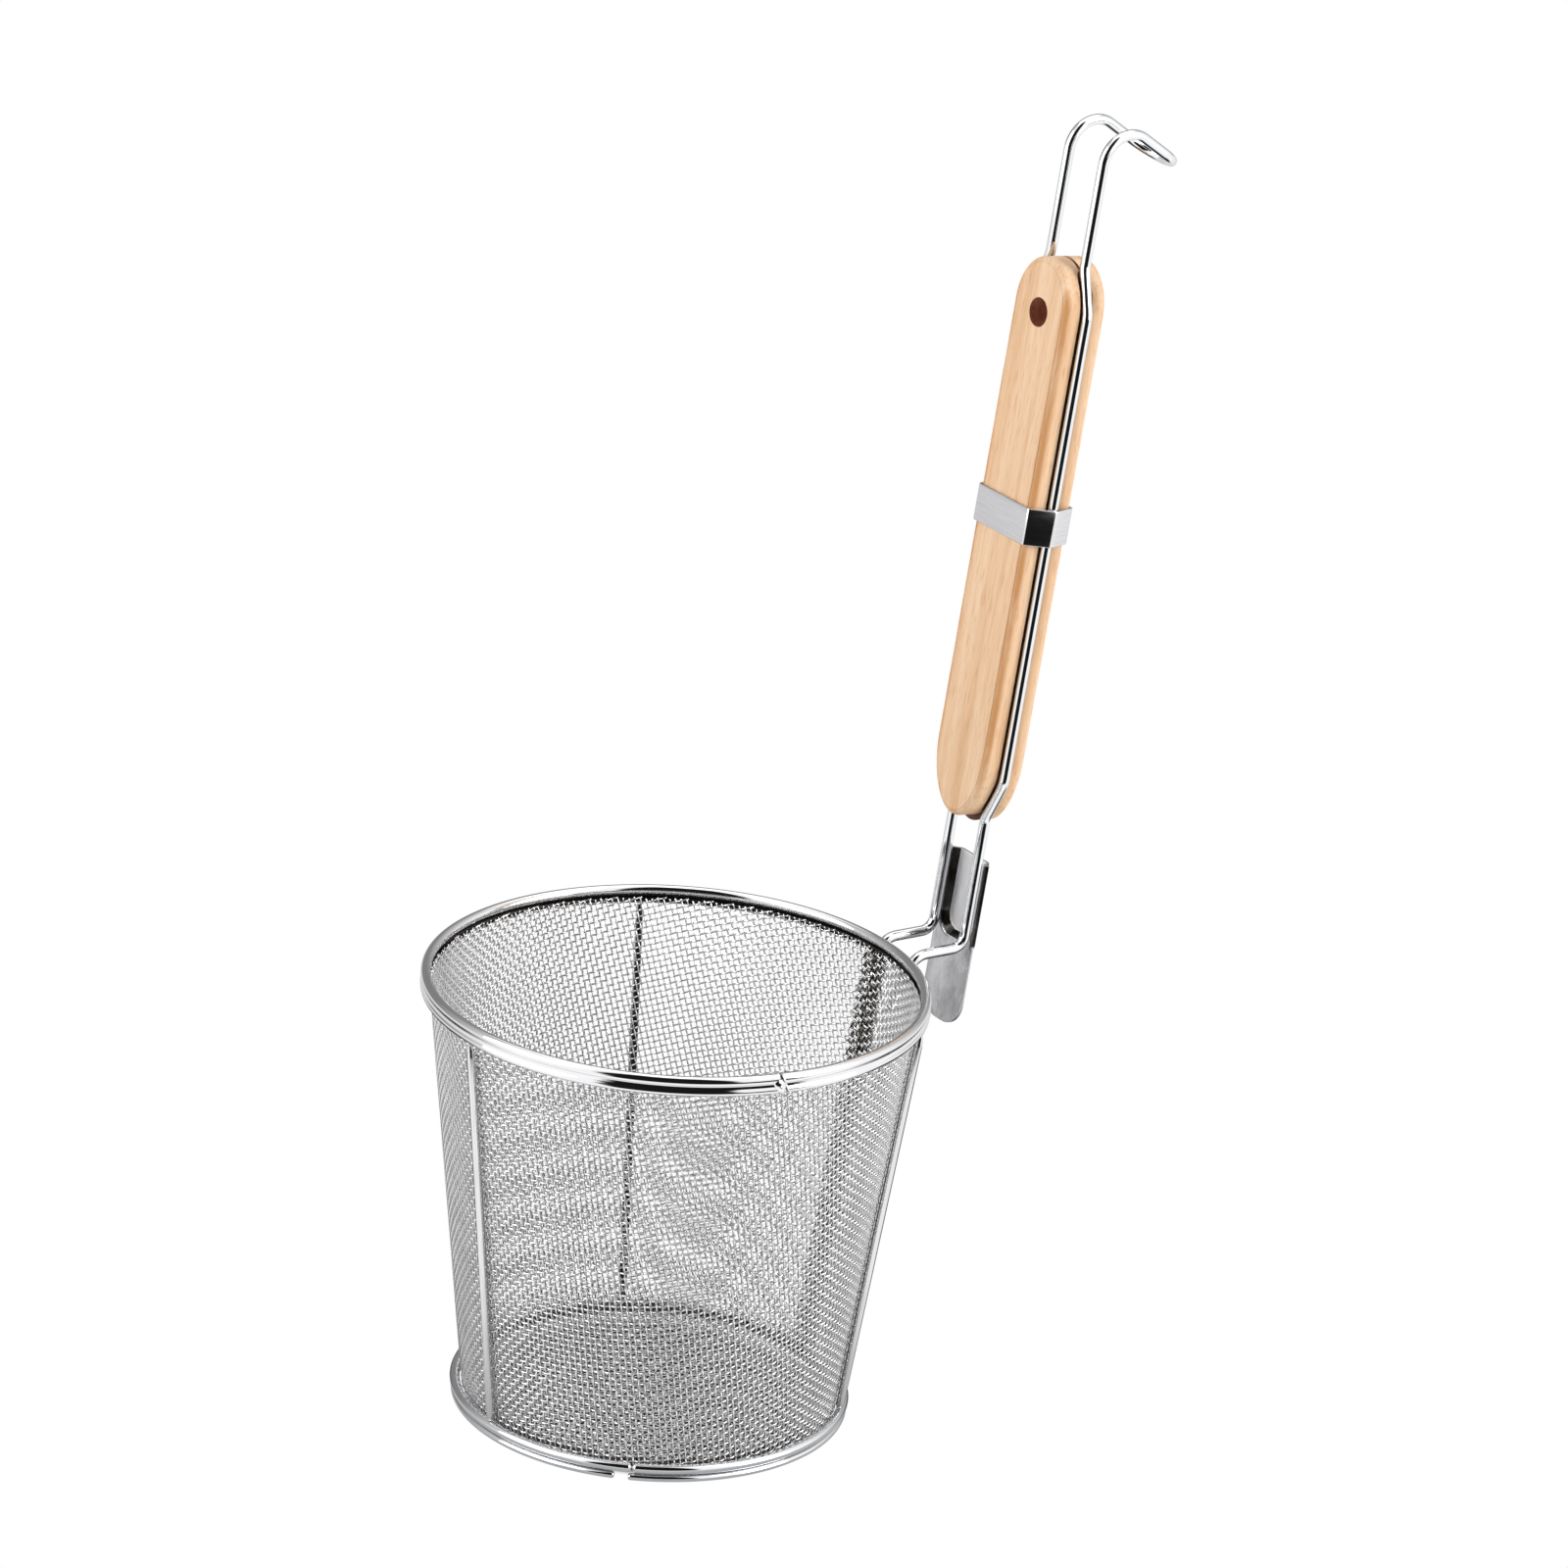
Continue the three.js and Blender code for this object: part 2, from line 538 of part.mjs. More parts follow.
// Band: flat over both faces of the grip, then a straight slope to a ridge over each wire.
const bandFace = GRIP_THICKNESS / 2 + CLEARANCE;
const bandCorner = gripHalf - BAND_CORNER_INSET;
const wireOut = gripWireHalf - bandCorner;
const bandSlope = Math.atan2(wireOut, bandFace)
  + Math.asin((wireRadius + CLEARANCE) / Math.hypot(wireOut, bandFace));
const bandRidge = bandCorner + bandFace * Math.tan(bandSlope);
const bandInner = [
  new THREE.Vector2(bandFace, -bandCorner),
  new THREE.Vector2(bandFace, bandCorner),
  new THREE.Vector2(0, bandRidge),
  new THREE.Vector2(-bandFace, bandCorner),
  new THREE.Vector2(-bandFace, -bandCorner),
  new THREE.Vector2(0, -bandRidge),
];
const bandShape = new THREE.Shape(grownLoop(bandInner, BAND_SHEET));
bandShape.holes.push(new THREE.Path(bandInner));
const band = new THREE.ExtrudeGeometry(bandShape, { depth: BAND_WIDTH, bevelEnabled: false });
band.translate(0, 0, (gripStart + gripEnd) / 2 + BAND_FROM_MIDDLE - BAND_WIDTH / 2);
addPiece(handle, 'grip_band', band, STEEL_POLISHED);

// The origin lies on the floor under the middle of the whole object.
object.updateMatrixWorld(true);
const extent = new THREE.Box3().setFromObject(object, true);
object.position.x = -(extent.min.x + extent.max.x) / 2;
object.updateMatrixWorld(true);

export default object;
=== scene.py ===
"""Noodle strainer basket: woven steel cone, rolled rim, base rings, ribs, bent wire handle with a beech grip.

Lengths are written in millimetres and become metres when a mesh is made. The basket stands on its foot ring,
its axis is upright, and the handle leans away from it towards +X.
"""

import math

import bpy
import numpy as np
from mathutils import Matrix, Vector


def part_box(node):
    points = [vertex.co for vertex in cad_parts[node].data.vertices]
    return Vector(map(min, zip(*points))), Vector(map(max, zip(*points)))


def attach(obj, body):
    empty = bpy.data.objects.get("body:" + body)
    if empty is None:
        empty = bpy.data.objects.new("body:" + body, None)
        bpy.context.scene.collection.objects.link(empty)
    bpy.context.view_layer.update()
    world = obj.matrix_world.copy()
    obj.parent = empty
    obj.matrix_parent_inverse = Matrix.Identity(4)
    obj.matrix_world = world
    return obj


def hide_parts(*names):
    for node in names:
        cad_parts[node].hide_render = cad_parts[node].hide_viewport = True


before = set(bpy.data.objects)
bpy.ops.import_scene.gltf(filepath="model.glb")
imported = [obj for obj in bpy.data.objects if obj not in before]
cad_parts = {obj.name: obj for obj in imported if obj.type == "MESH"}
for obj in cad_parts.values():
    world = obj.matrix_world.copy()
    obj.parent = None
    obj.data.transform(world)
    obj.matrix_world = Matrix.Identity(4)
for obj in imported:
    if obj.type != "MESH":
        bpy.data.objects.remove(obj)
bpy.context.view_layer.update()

MM = 0.001
rng = np.random.default_rng(11)

# Place of the basket's axis, and the gap left between joined pieces
basket_low, basket_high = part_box("base_ring")
AXIS_X = (basket_low.x + basket_high.x) / 2 / MM
CLEARANCE = 0.3

# Rolled rim: the radii of each bead's mid-line and outside, its butt joint, and the weld there
RIM_RADIUS = 70.0
RIM_SHEET = 0.4
BEAD_MID = 1.25
BEAD_OUTER = 1.45
BEAD_Z = 124.65
LOWER_MID = 1.0
LOWER_OUTER = 1.2
LOWER_Z = 121.746
RIM_BOTTOM = LOWER_Z - LOWER_OUTER
RIM_JOINT = math.radians(-97.6)
RIM_JOINT_HALF = 0.25
RIM_JOINT_REACH = 6
RIM_JOINT_SLANT = -0.45
WELD_RADIUS = 69.0
WELD_Z = 122.9
WELD_HALF = 1.9
WELD_HEIGHT = 2.7
WELD_DEPTH = 1.4
WELD_SKEW = 0.7

# Base rings: the radii of their wires, and how their ends are drawn in
BASE_RADIUS = 54.3
BASE_WIRE = 1.4
BASE_Z = 3.6
BASE_JOINT = math.radians(-127.5)
BASE_JOINT_WIDTH = 0.4
FOOT_WIRE = 1.0
FOOT_Z = 0.9
FOOT_OPENING = math.radians(-130.5)
FOOT_OPENING_WIDTH = 3.8
END_REACH = 0.6
END_SINK = 0.75
RING_SIDES = 24

# Wire cloth: sixteen wires to the inch one way, fourteen and a half the other, with a welded lap; lap flanks
# and base hem get painted shade
WALL_SEAT = 52.517
WALL_SLOPE = 0.12626
WALL_BOTTOM = 2.4
WALL_TOP = 122.9
CLOTH_HALF = 0.4
BASE_CLOTH_RADIUS = 51.6
UPRIGHT_PITCH = 1.595
LEVEL_PITCH = 1.755
CLOTH_WIRE = 0.27
CLOTH_CRIMP = 0.215
WIRE_SCATTER = 0.035
LAP_WIDTH = 10.6
LAP_EASE = 3
LAP_SINK = 0.8
LAP_WELD_HALF = 0.9
HEM_WIDTH = 3.5
SPARE_FAR, SPARE_NEAR, SPARE_WIRES = 2, 4, 4
SIN_CONE = WALL_SLOPE / math.hypot(1, WALL_SLOPE)
COS_CONE = 1 / math.hypot(1, WALL_SLOPE)
CONE_TIP_DEPTH = (WALL_SEAT - CLOTH_HALF) / WALL_SLOPE - BASE_Z

# Ribs
RIB_RADIUS = 1.15
RIB_AZIMUTHS = {"rib_seam": 0.0, "rib_back": 65.7, "rib_left": 183.8, "rib_right": -45.5}

# Handle wire: places along the handle are counted from the level of the upper bead
TILT = math.radians(6.45)
HANDLE_OFFSET = 20.6
HANDLE_X = AXIS_X + RIM_RADIUS + HANDLE_OFFSET
HANDLE_ACROSS = HANDLE_X * math.cos(TILT) - BEAD_Z * math.sin(TILT)
WIRE_RADIUS = 1.5
WIRE_SHOWN_RADIUS = WIRE_RADIUS * 0.992
LEG_END_RISE = 0.45
LEG_REACH = 4.2
LEG_BEND = 6
SHOULDER_DROP = 1.8
SHOULDER_BEND = 4
NECK_HALF = 7.45
GRIP_WIRE_HALF = 12.8
KINK_SINK = 1
KINK_LENGTH = 12
KINK_BEND = 8
HOOK_HALF = 8.0
HOOK_STEM = 28.3
HOOK_STRAIGHT = 8.5
HOOK_BEND = 8.5
HOOK_TURN = math.pi / 2 - TILT + math.radians(35)

# Grip and its band; the back half ends a little lower
GRIP_START = 35.4
GRIP_END = 196.0
GRIP_LOWER_END = 20
GRIP_UPPER_END = 14
GRIP_HALF = 12.0
GRIP_FACE = 6.9
GRIP_PARTING = 0.2
GRIP_ROUND = 1.6
BACK_LONGER = 1.8
PARTING_BEVEL = 0.25
PARTING_CURVE = 0.07
GROOVE_GAP = 0.6
WORN_DEPTH, WORN_DEPTH_FULL = 4.6, 6.2
WORN_WIDTH, WORN_WIDTH_FULL = 9.2, 11.2
HOLE_T = 180.5
HOLE_RADIUS = 4.1
HOLE_REACH = 9.0
BAND_T = 122.85
BAND_WIDTH = 10.5
BAND_SHEET = 0.4
BAND_CORNER = 0.5

# Rest plate: the recess, the ridges and bent edges beside it, and the tongue
PLATE_SHEET = 0.7
PLATE_TOP = 22.6
PLATE_MID = 2.15
RECESS_HALF = 7.95
RECESS_BOTTOM = -1.9
RECESS_CORNER = 6.0
RECESS_WALL = 1.6
RECESS_DEPTH = 2.6
RECESS_EASE = 0.07
RIDGE_END = 8.45
EDGE_TURN = math.radians(50)
EDGE_LENGTH = 1.1
BEND_END = -2.4
BEND_FADE = 1.5
FINE_ROWS = (5.0, -2.6)
TONGUE_BOTTOM = -26.0
TONGUE_HALF = 9.25
TONGUE_CORNER = 7.5


# Meshes

def skin(points, along=None, across=None, wrap_along=False, wrap_across=False):
    """Quads between the neighbours of a grid of points, with each corner's place both ways in millimetres."""
    rows, columns = points.shape[:2]
    row, column = np.meshgrid(np.arange(rows if wrap_along else rows - 1),
                              np.arange(columns if wrap_across else columns - 1), indexing="ij")
    row = np.stack((row, row, row + 1, row + 1), -1).reshape(-1, 4)
    column = np.stack((column, column + 1, column + 1, column), -1).reshape(-1, 4)
    faces = (row % rows) * columns + column % columns
    along = np.arange(rows + 1.0) if along is None else along
    across = np.arange(columns + 1.0) if across is None else across
    return faces, np.stack((along[row], across[column]), -1)


def end_caps(points):
    """The two open ends of a grid that is closed across, as loops of its corners."""
    rows, sides = points.shape[:2]
    last = (rows - 1) * sides
    return list(range(sides)), list(range(last + sides - 1, last - 1, -1))


def closed_mesh(name, points, quads, caps=(), uv=None):
    """A mesh of quads and flat end caps from points in millimetres. Its faces are turned outwards, so that
    the enclosed volume, the sum of the corners' triple products, isn't negative."""
    points = points.reshape(-1, 3)
    a, b, c, d = (points[quads[:, k]] for k in range(4))
    if np.einsum("ij,ij->", a, np.cross(b, c)) + np.einsum("ij,ij->", a, np.cross(c, d)) < 0:
        quads = quads[:, ::-1]
        uv = None if uv is None else uv[:, ::-1]
        caps = [cap[::-1] for cap in caps]
    mesh = bpy.data.meshes.new(name)
    mesh.from_pydata(points * MM, [], [*quads.tolist(), *caps] if caps else quads)
    if uv is not None:
        corners = np.concatenate((uv.reshape(-1, 2), np.zeros((sum(map(len, caps)), 2))))
        mesh.uv_layers.new(name="UVMap").data.foreach_set("uv", (corners * MM).ravel())
    mesh.update()
    return mesh


def new_object(name, data):
    """An object in the scene."""
    made = bpy.data.objects.new(name, data)
    bpy.context.scene.collection.objects.link(made)
    return made


def make_piece(name, points, quads, finish, node, uv=None, caps=()):
    """A closed mesh, smooth but for its end caps, which rides on the part and replaces a CAD node."""
    mesh = closed_mesh(name, points, quads, caps, uv)
    mesh.polygons.foreach_set("use_smooth", np.arange(len(mesh.polygons)) < len(quads))
    mesh.materials.append(finish)
    mesh.update()
    piece = new_object(name, mesh)
    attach(piece, "root")
    if node:
        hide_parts(node)
    return piece


def give_finishes(piece, finishes, chosen):
    """Adds finishes to a piece and gives each face the number of its own; faces past the list keep 0."""
    for finish in finishes:
        piece.data.materials.append(finish)
    index = np.zeros(len(piece.data.polygons), np.int32)
    index[:len(chosen)] = chosen
    piece.data.polygons.foreach_set("material_index", index)


def unit(vectors):
    """The same directions with length one."""
    return vectors / np.linalg.norm(vectors, axis=-1, keepdims=True)


def smoothed(share):
    """A share from 0 to 1 that starts and ends gently: three times its square less twice its cube."""
    return share * share * (3 - 2 * share)


def arc(x, y, radius, start, stop, count):
    """Points on a circle from one angle to the other, in degrees."""
    angle = np.radians(np.linspace(start, stop, count))
    return np.stack((x + radius * np.cos(angle), y + radius * np.sin(angle)), -1)


def eased(line, spacing, reach):
    """A line sampled evenly and averaged over a short reach, so that its corners turn into small bends."""
    step = outline_length(line, False)
    even = np.linspace(0, step[-1], max(3, round(step[-1] / spacing)))
    line = np.stack([np.interp(even, step, column) for column in line.T], -1)
    half = max(1, round(reach / spacing))
    padded = np.concatenate((2 * line[0] - line[half:0:-1], line, 2 * line[-1] - line[-2:-half - 2:-1]))
    kernel = np.hanning(2 * half + 3)[1:-1]
    return np.stack([np.convolve(column, kernel / kernel.sum(), "valid") for column in padded.T], -1)


def strip_section(midline, thickness):
    """Closed outline of a bent strip: its mid-line moved half its thickness both ways, with round edges."""
    way = unit(np.gradient(midline, axis=0))
    left = np.stack((-way[:, 1], way[:, 0]), -1)
    half = thickness / 2
    turn = np.radians(np.array([-60, -30, 0, 30, 60]))[:, None]
    end = midline[-1] + half * (np.cos(turn) * way[-1] + np.sin(turn) * left[-1])
    start = midline[0] + half * (-np.cos(turn) * way[0] - np.sin(turn) * left[0])
    return np.concatenate((midline - half * left, end, (midline + half * left)[::-1], start))


def around_axis(radius, azimuth, height):
    """Points at a radius, azimuth and height round the basket's axis."""
    radius, azimuth, height = np.broadcast_arrays(radius, azimuth, height)
    return np.stack((AXIS_X + radius * np.cos(azimuth), radius * np.sin(azimuth), height), -1)


def outline_length(points, closed=True):
    """Distance along a chain of points, from its first point."""
    chain = np.concatenate((points, points[:1])) if closed else points
    return np.r_[0, np.cumsum(np.linalg.norm(np.diff(chain, axis=0), axis=1))]


def lean(e, y, t):
    """A point of the handle frame (out, across, up along the handle) in the part's frame."""
    e, y, t = np.broadcast_arrays(np.asarray(e, float), np.asarray(y, float), np.asarray(t, float))
    x = HANDLE_X + e * math.cos(TILT) + t * math.sin(TILT)
    z = BEAD_Z - e * math.sin(TILT) + t * math.cos(TILT)
    return np.stack((x, y, z), -1)


def corner_arc(before, at, after, bend, step=6.0, count=None):
    """A corner turned into an arc of a radius, in a count of points or in chords of a few degrees."""
    come, go = unit(at - before), unit(after - at)
    turn = math.acos(np.clip(come @ go, -1, 1))
    inward = unit(go - come * (go @ come))
    angle = np.linspace(0, turn, count or max(3, round(math.degrees(turn) / step)))[:, None]
    start = at - come * bend * math.tan(turn / 2)
    return start + bend * (np.sin(angle) * come + (1 - np.cos(angle)) * inward)


def bent_path(corners, bends, step=6.0):
    """A line through corners whose turns are arcs of the given radii."""
    corners = np.asarray(corners, float)
    turns = zip(corners[:-2], corners[1:-1], corners[2:], bends)
    return np.concatenate((corners[:1], *(corner_arc(*turn, step) for turn in turns), corners[-1:]))


def tube(path, normal, radius, sides):
    """A round bar: at each point of the path a circle of its radius, square to the path."""
    way = unit(np.gradient(path, axis=0))
    normal = unit(normal - way * np.sum(normal * way, 1, keepdims=True))
    other = np.cross(way, normal)
    angle = np.linspace(0, 2 * np.pi, sides, endpoint=False)[None, :, None]
    ring = np.cos(angle) * normal[:, None] + np.sin(angle) * other[:, None]
    return path[:, None] + np.asarray(radius).reshape(-1, 1, 1) * ring


def bar_piece(name, path, normal, radius, sides, finish, node):
    """A round bar with flat ends, as one piece."""
    points = tube(path, normal, radius, sides)
    around = np.linspace(0, 2 * np.pi * np.max(radius), sides + 1)
    quads, uv = skin(points, outline_length(path, False), around, wrap_across=True)
    return make_piece(name, points, quads, finish, node, uv, end_caps(points))


# Colours and nodes

SMOOTH = {"interpolation_type": "SMOOTHSTEP"}


def hex_colour(code):
    """An sRGB hex colour as linear red, green, blue and alpha."""
    channel = np.array([int(code[k:k + 2], 16) for k in (1, 3, 5)]) / 255
    linear = np.where(channel <= 0.04045, channel / 12.92, ((channel + 0.055) / 1.055) ** 2.4)
    return (*linear.tolist(), 1.0)


def add_node(tree, kind, inputs=None, stops=(), **settings):
    """Adds one node: settings are its properties, stops a ramp's places and colours, and inputs its sockets,
    each a value or a node with its output."""
    made = tree.nodes.new("ShaderNode" + kind)
    for name, value in settings.items():
        setattr(made, name, value)
    for number, (position, code) in enumerate(stops):
        ramp = made.color_ramp.elements
        stop = ramp[number] if number < 2 else ramp.new(position)
        stop.position, stop.color = position, hex_colour(code)
    for socket, value in (inputs or {}).items():
        if isinstance(value, tuple) and isinstance(value[0], bpy.types.Node):
            tree.links.new(value[0].outputs[value[1]], made.inputs[socket])
        else:
            made.inputs[socket].default_value = value
    return made


def pattern(tree, place, sizes, **noise):
    """A noise whose patches are about as long each way as the sizes in millimetres."""
    scale = tuple(1 / (MM * size) for size in sizes)
    scaled = add_node(tree, "Mapping", {"Vector": place, "Scale": scale})
    return add_node(tree, "TexNoise", {"Vector": (scaled, "Vector"), "Scale": 1.0, **noise})


def new_material(name):
    """An empty material and its node tree."""
    material = bpy.data.materials.new(name)
    material.use_nodes = True
    material.node_tree.nodes.clear()
    return material, material.node_tree


def steel(name, colour, shade, roughness, spread, streak, bump, place="UV", stain=None, metallic=1.0):
    """Stainless steel: a bright metal whose streaks run along the piece; streak is their size in mm.
    A painted shade line has a colour, its middle round the piece, half its width and its soft edge, in mm."""
    material, tree = new_material(name)
    where = add_node(tree, "TexCoord")
    lines = pattern(tree, (where, place), streak, Detail=4.0, Roughness=0.6)
    tint = add_node(tree, "ValToRGB", {"Fac": (lines, "Fac")}, ((0.3, shade), (0.7, colour)))
    gloss = add_node(tree, "MapRange", {
        "Value": (lines, "Fac"), "From Min": 0.3, "From Max": 0.7,
        "To Min": roughness - spread, "To Max": roughness + spread})
    relief = add_node(tree, "Bump", {"Height": (lines, "Fac"), "Strength": bump, "Distance": 0.02 * MM})
    surface = (tint, "Color")
    # Painted shade: a dark band round the piece stands in for the shade where it meets the cloth.
    if stain:
        code, middle, half, edge = stain
        parts = add_node(tree, "SeparateXYZ", {"Vector": (where, "UV")})
        past = add_node(tree, "Math", {0: (parts, "Y"), 1: middle * MM}, operation="SUBTRACT")
        away = add_node(tree, "Math", {0: (past, "Value")}, operation="ABSOLUTE")
        line = add_node(tree, "MapRange", {
            "Value": (away, "Value"), "From Min": (half + edge) * MM, "From Max": half * MM})
        stained = add_node(tree, "Mix", {
            0: (line, "Result"), 6: surface, 7: hex_colour(code)}, data_type="RGBA")
        surface = (stained, 2)
    shader = add_node(tree, "BsdfPrincipled", {
        "Base Color": surface, "Metallic": metallic,
        "Roughness": (gloss, "Result"), "Normal": (relief, "Normal")})
    add_node(tree, "OutputMaterial", {"Surface": (shader, "BSDF")})
    return material


# Drawn and polished stainless wire: almost a mirror, with faint lines along its length.
polished_wire = steel("polished_stainless_wire", "#E4E5E7", "#D8D9DB", 0.05, 0.02, (14, 0.35, 1), 0.1)
# Rolled stainless strip: bright, with rolling lines that run round the rim.
rolled_strip = steel("rolled_stainless_strip", "#E4E4E5", "#D8D8DA", 0.06, 0.02, (20, 0.5, 1), 0.1)
# Drawn stainless rod left satin: soft gleam, with a dark line painted down its inner side as the shade
# between rod and cloth.
satin_rod = steel("satin_stainless_rod", "#DCDCDC", "#CCCCCC", 0.14, 0.04, (10, 0.4, 1), 0.15,
                  stain=("#454240", math.pi * RIB_RADIUS, 0.85, 0.4))
# Stainless cloth as woven and washed: soft grey gleam on every wire.
woven_cloth = steel("woven_stainless_cloth", "#E6E6E6", "#DADADB", 0.16, 0.03, (9, 9, 9), 0.0, "Object")
# The flanks of the same wires: a duller, darker copy as painted shade, so the cloth darkens where seen
# aslant.
woven_flank = steel("woven_stainless_flank_shade", "#DCDBDC", "#CECDCE", 0.24, 0.04, (9, 9, 9), 0.0, "Object")
# The same wires in dark brown-grey patches: heat tint along the lap's weld, painted shade on the lap's flanks
# and round the base's hem.
welded_cloth = steel("heat_tinted_and_shaded_cloth", "#6E6963", "#46423D", 0.28, 0.06, (3, 3, 3), 0.0,
                     "Object")
# Pressed stainless sheet with its dull mill finish: cloudy, broad reflections.
pressed_sheet = steel("pressed_stainless_sheet", "#FAF9FB", "#9C9A9F", 0.26, 0.08, (13, 7, 1), 0.0)
# The recess's floor, which neither the press nor a wheel rubbed: whitish and matt from the pickling bath.
pickled_sheet = steel("pickled_stainless_sheet", "#DEDDDE", "#D0CFD1", 0.5, 0.05, (9, 4, 1), 0.0,
                      metallic=0.35)
# The recess's walls and the bent edges: dark grey, a painted shade and dark reflection standing in for the
# wire's shadow and mirror image.
tarnished_sheet = steel("stainless_sheet_painted_dark", "#6A6765", "#46433F", 0.22, 0.05, (6, 2, 1), 0.0)
# Folded stainless band, lightly brushed round the grip: soft, streaked reflections.
brushed_band = steel("brushed_stainless_band", "#DADADC", "#CAC9CC", 0.15, 0.03, (12, 0.4, 1), 0.06)
# Black annealed iron wire inside the rolled rim: nearly black, with a dull gleam.
core_wire = steel("black_annealed_wire", "#3A3938", "#2A2928", 0.4, 0.08, (5, 5, 5), 0.0, "Object")
# The strip's other face, inside the roll: painted brown-black as the shade that fills the curl.
rim_hollow = steel("rim_strip_inside_shade", "#4E4A46", "#36332F", 0.45, 0.08, (5, 5, 1), 0.0)


def oiled_beech():
    """Planed and thinly oiled beech: pale tan with long soft bands, short dark flecks along the grain, and
    front edges painted a warm brown in patches as shade, where depth and width both near their limits."""
    material, tree = new_material("oiled_beech")
    place = add_node(tree, "TexCoord")
    upright = add_node(tree, "Mapping", {"Vector": (place, "Object"), "Rotation": (0, -TILT, 0)})
    bands = pattern(tree, (upright, "Vector"), (5, 4, 90), Detail=3.0, Roughness=0.55, Distortion=0.4)
    flecks = pattern(tree, (upright, "Vector"), (0.7, 0.5, 7), Detail=2.0)
    tone = add_node(tree, "ValToRGB", {"Fac": (bands, "Fac")},
                    ((0.25, "#D6A97D"), (0.45, "#E3BB93"), (0.6, "#E9C5A0"), (0.78, "#EECFAD")))
    dark = add_node(tree, "ValToRGB", {"Fac": (flecks, "Fac")}, ((0.3, "#CFA377"), (0.46, "#FFFFFF")))
    colour = add_node(tree, "Mix", {0: 0.38, 6: (tone, "Color"), 7: (dark, "Color")},
                      data_type="RGBA", blend_type="MULTIPLY")
    parts = add_node(tree, "SeparateXYZ", {"Vector": (upright, "Vector")})
    # Painted shade: the rounded front edges turn warm brown in patches.
    depth = add_node(tree, "Math", {0: HANDLE_ACROSS * MM, 1: (parts, "X")}, operation="SUBTRACT")
    width = add_node(tree, "Math", {0: (parts, "Y")}, operation="ABSOLUTE")
    outer = add_node(tree, "MapRange", {
        "Value": (depth, "Value"), "From Min": WORN_DEPTH * MM, "From Max": WORN_DEPTH_FULL * MM}, **SMOOTH)
    aside = add_node(tree, "MapRange", {
        "Value": (width, "Value"), "From Min": WORN_WIDTH * MM, "From Max": WORN_WIDTH_FULL * MM}, **SMOOTH)
    edge = add_node(tree, "Math", {0: (outer, "Result"), 1: (aside, "Result")}, operation="MULTIPLY")
    patches = pattern(tree, (upright, "Vector"), (3, 2.5, 16), Detail=4.0)
    grain = add_node(tree, "MapRange", {
        "Value": (patches, "Fac"), "From Min": 0.36, "From Max": 0.6, "To Min": 0.1, "To Max": 0.95})
    worn = add_node(tree, "Math", {0: (edge, "Value"), 1: (grain, "Result")}, operation="MULTIPLY")
    colour = add_node(tree, "Mix", {0: (worn, "Value"), 6: (colour, 2), 7: hex_colour("#CC9158")},
                      data_type="RGBA")
    gloss = add_node(tree, "MapRange", {"Value": (flecks, "Fac"), "To Min": 0.55, "To Max": 0.42})
    relief = add_node(tree, "Bump", {"Height": (flecks, "Fac"), "Strength": 0.25, "Distance": 0.05 * MM})
    shader = add_node(tree, "BsdfPrincipled", {
        "Base Color": (colour, 2), "Roughness": (gloss, "Result"), "IOR": 1.5, "Normal": (relief, "Normal")})
    add_node(tree, "OutputMaterial", {"Surface": (shader, "BSDF")})
    return material


def cut_beech(name, dark, light):
    """Beech where a tool cut it: bare grain, darker in streaks."""
    material, tree = new_material(name)
    place = add_node(tree, "TexCoord")
    streaks = pattern(tree, (place, "Object"), (2, 2, 2), Detail=3.0)
    tone = add_node(tree, "ValToRGB", {"Fac": (streaks, "Fac")}, ((0.3, dark), (0.7, light)))
    shader = add_node(tree, "BsdfPrincipled", {"Base Color": (tone, "Color"), "Roughness": 0.7, "IOR": 1.5})
    add_node(tree, "OutputMaterial", {"Surface": (shader, "BSDF")})
    return material


beech = oiled_beech()
# Parting faces and grooves: dark brown, painted shade for the narrow gaps between the halves and round the
# wire.
scorched = cut_beech("beech_cut_painted_shade", "#4A2A1A", "#6E4229")
# The drilled bore: red-brown.
drilled = cut_beech("drilled_beech", "#96583F", "#C08060")
WOOD = (beech, scorched, drilled)


# Rolled rim

def rim_azimuth(section):
    """Azimuths round the rim, close together at the butt joint, whose edges slant with height."""
    gap = RIM_JOINT_HALF / RIM_RADIUS
    near = np.linspace(0, RIM_JOINT_REACH / RIM_RADIUS, 13)
    far = np.linspace(near[-1], 2 * np.pi - 2 * gap - near[-1], 331)[1:-1]
    turn = np.r_[near, far, 2 * np.pi - 2 * gap - near[::-1]]
    from_joint = np.minimum(turn, turn[-1] - turn) * RIM_RADIUS
    fade = np.clip(1 - from_joint / RIM_JOINT_REACH, 0, 1)[:, None]
    slant = fade * (section[:, 1] - LOWER_Z) * RIM_JOINT_SLANT / RIM_RADIUS
    return RIM_JOINT + gap + turn[:, None] + slant


def rolled_rim():
    """Two beads with a pinched groove between them: one bent strip carried round to its butt joint."""
    line = np.concatenate((arc(RIM_RADIUS - BEAD_OUTER, BEAD_Z, BEAD_MID, 210, -50, 40),
                           arc(RIM_RADIUS - LOWER_OUTER, LOWER_Z, LOWER_MID, 50, -140, 30)))
    middle = eased(line, 0.2, 0.25)
    section = strip_section(middle, RIM_SHEET)
    azimuth = rim_azimuth(section)
    points = around_axis(section[:, 0], azimuth, section[:, 1])
    along = np.r_[azimuth[:, 0], 0] * RIM_RADIUS
    quads, uv = skin(points, along, outline_length(section), wrap_across=True)
    piece = make_piece("rim_roll", points, quads, rolled_strip, "rim_band", uv,
                       end_caps(points))
    # Painted shade: the strip's inner face, inside the curl, is brown-black.
    give_finishes(piece, [rim_hollow], np.arange(len(quads)) % len(section) < len(middle) - 1)


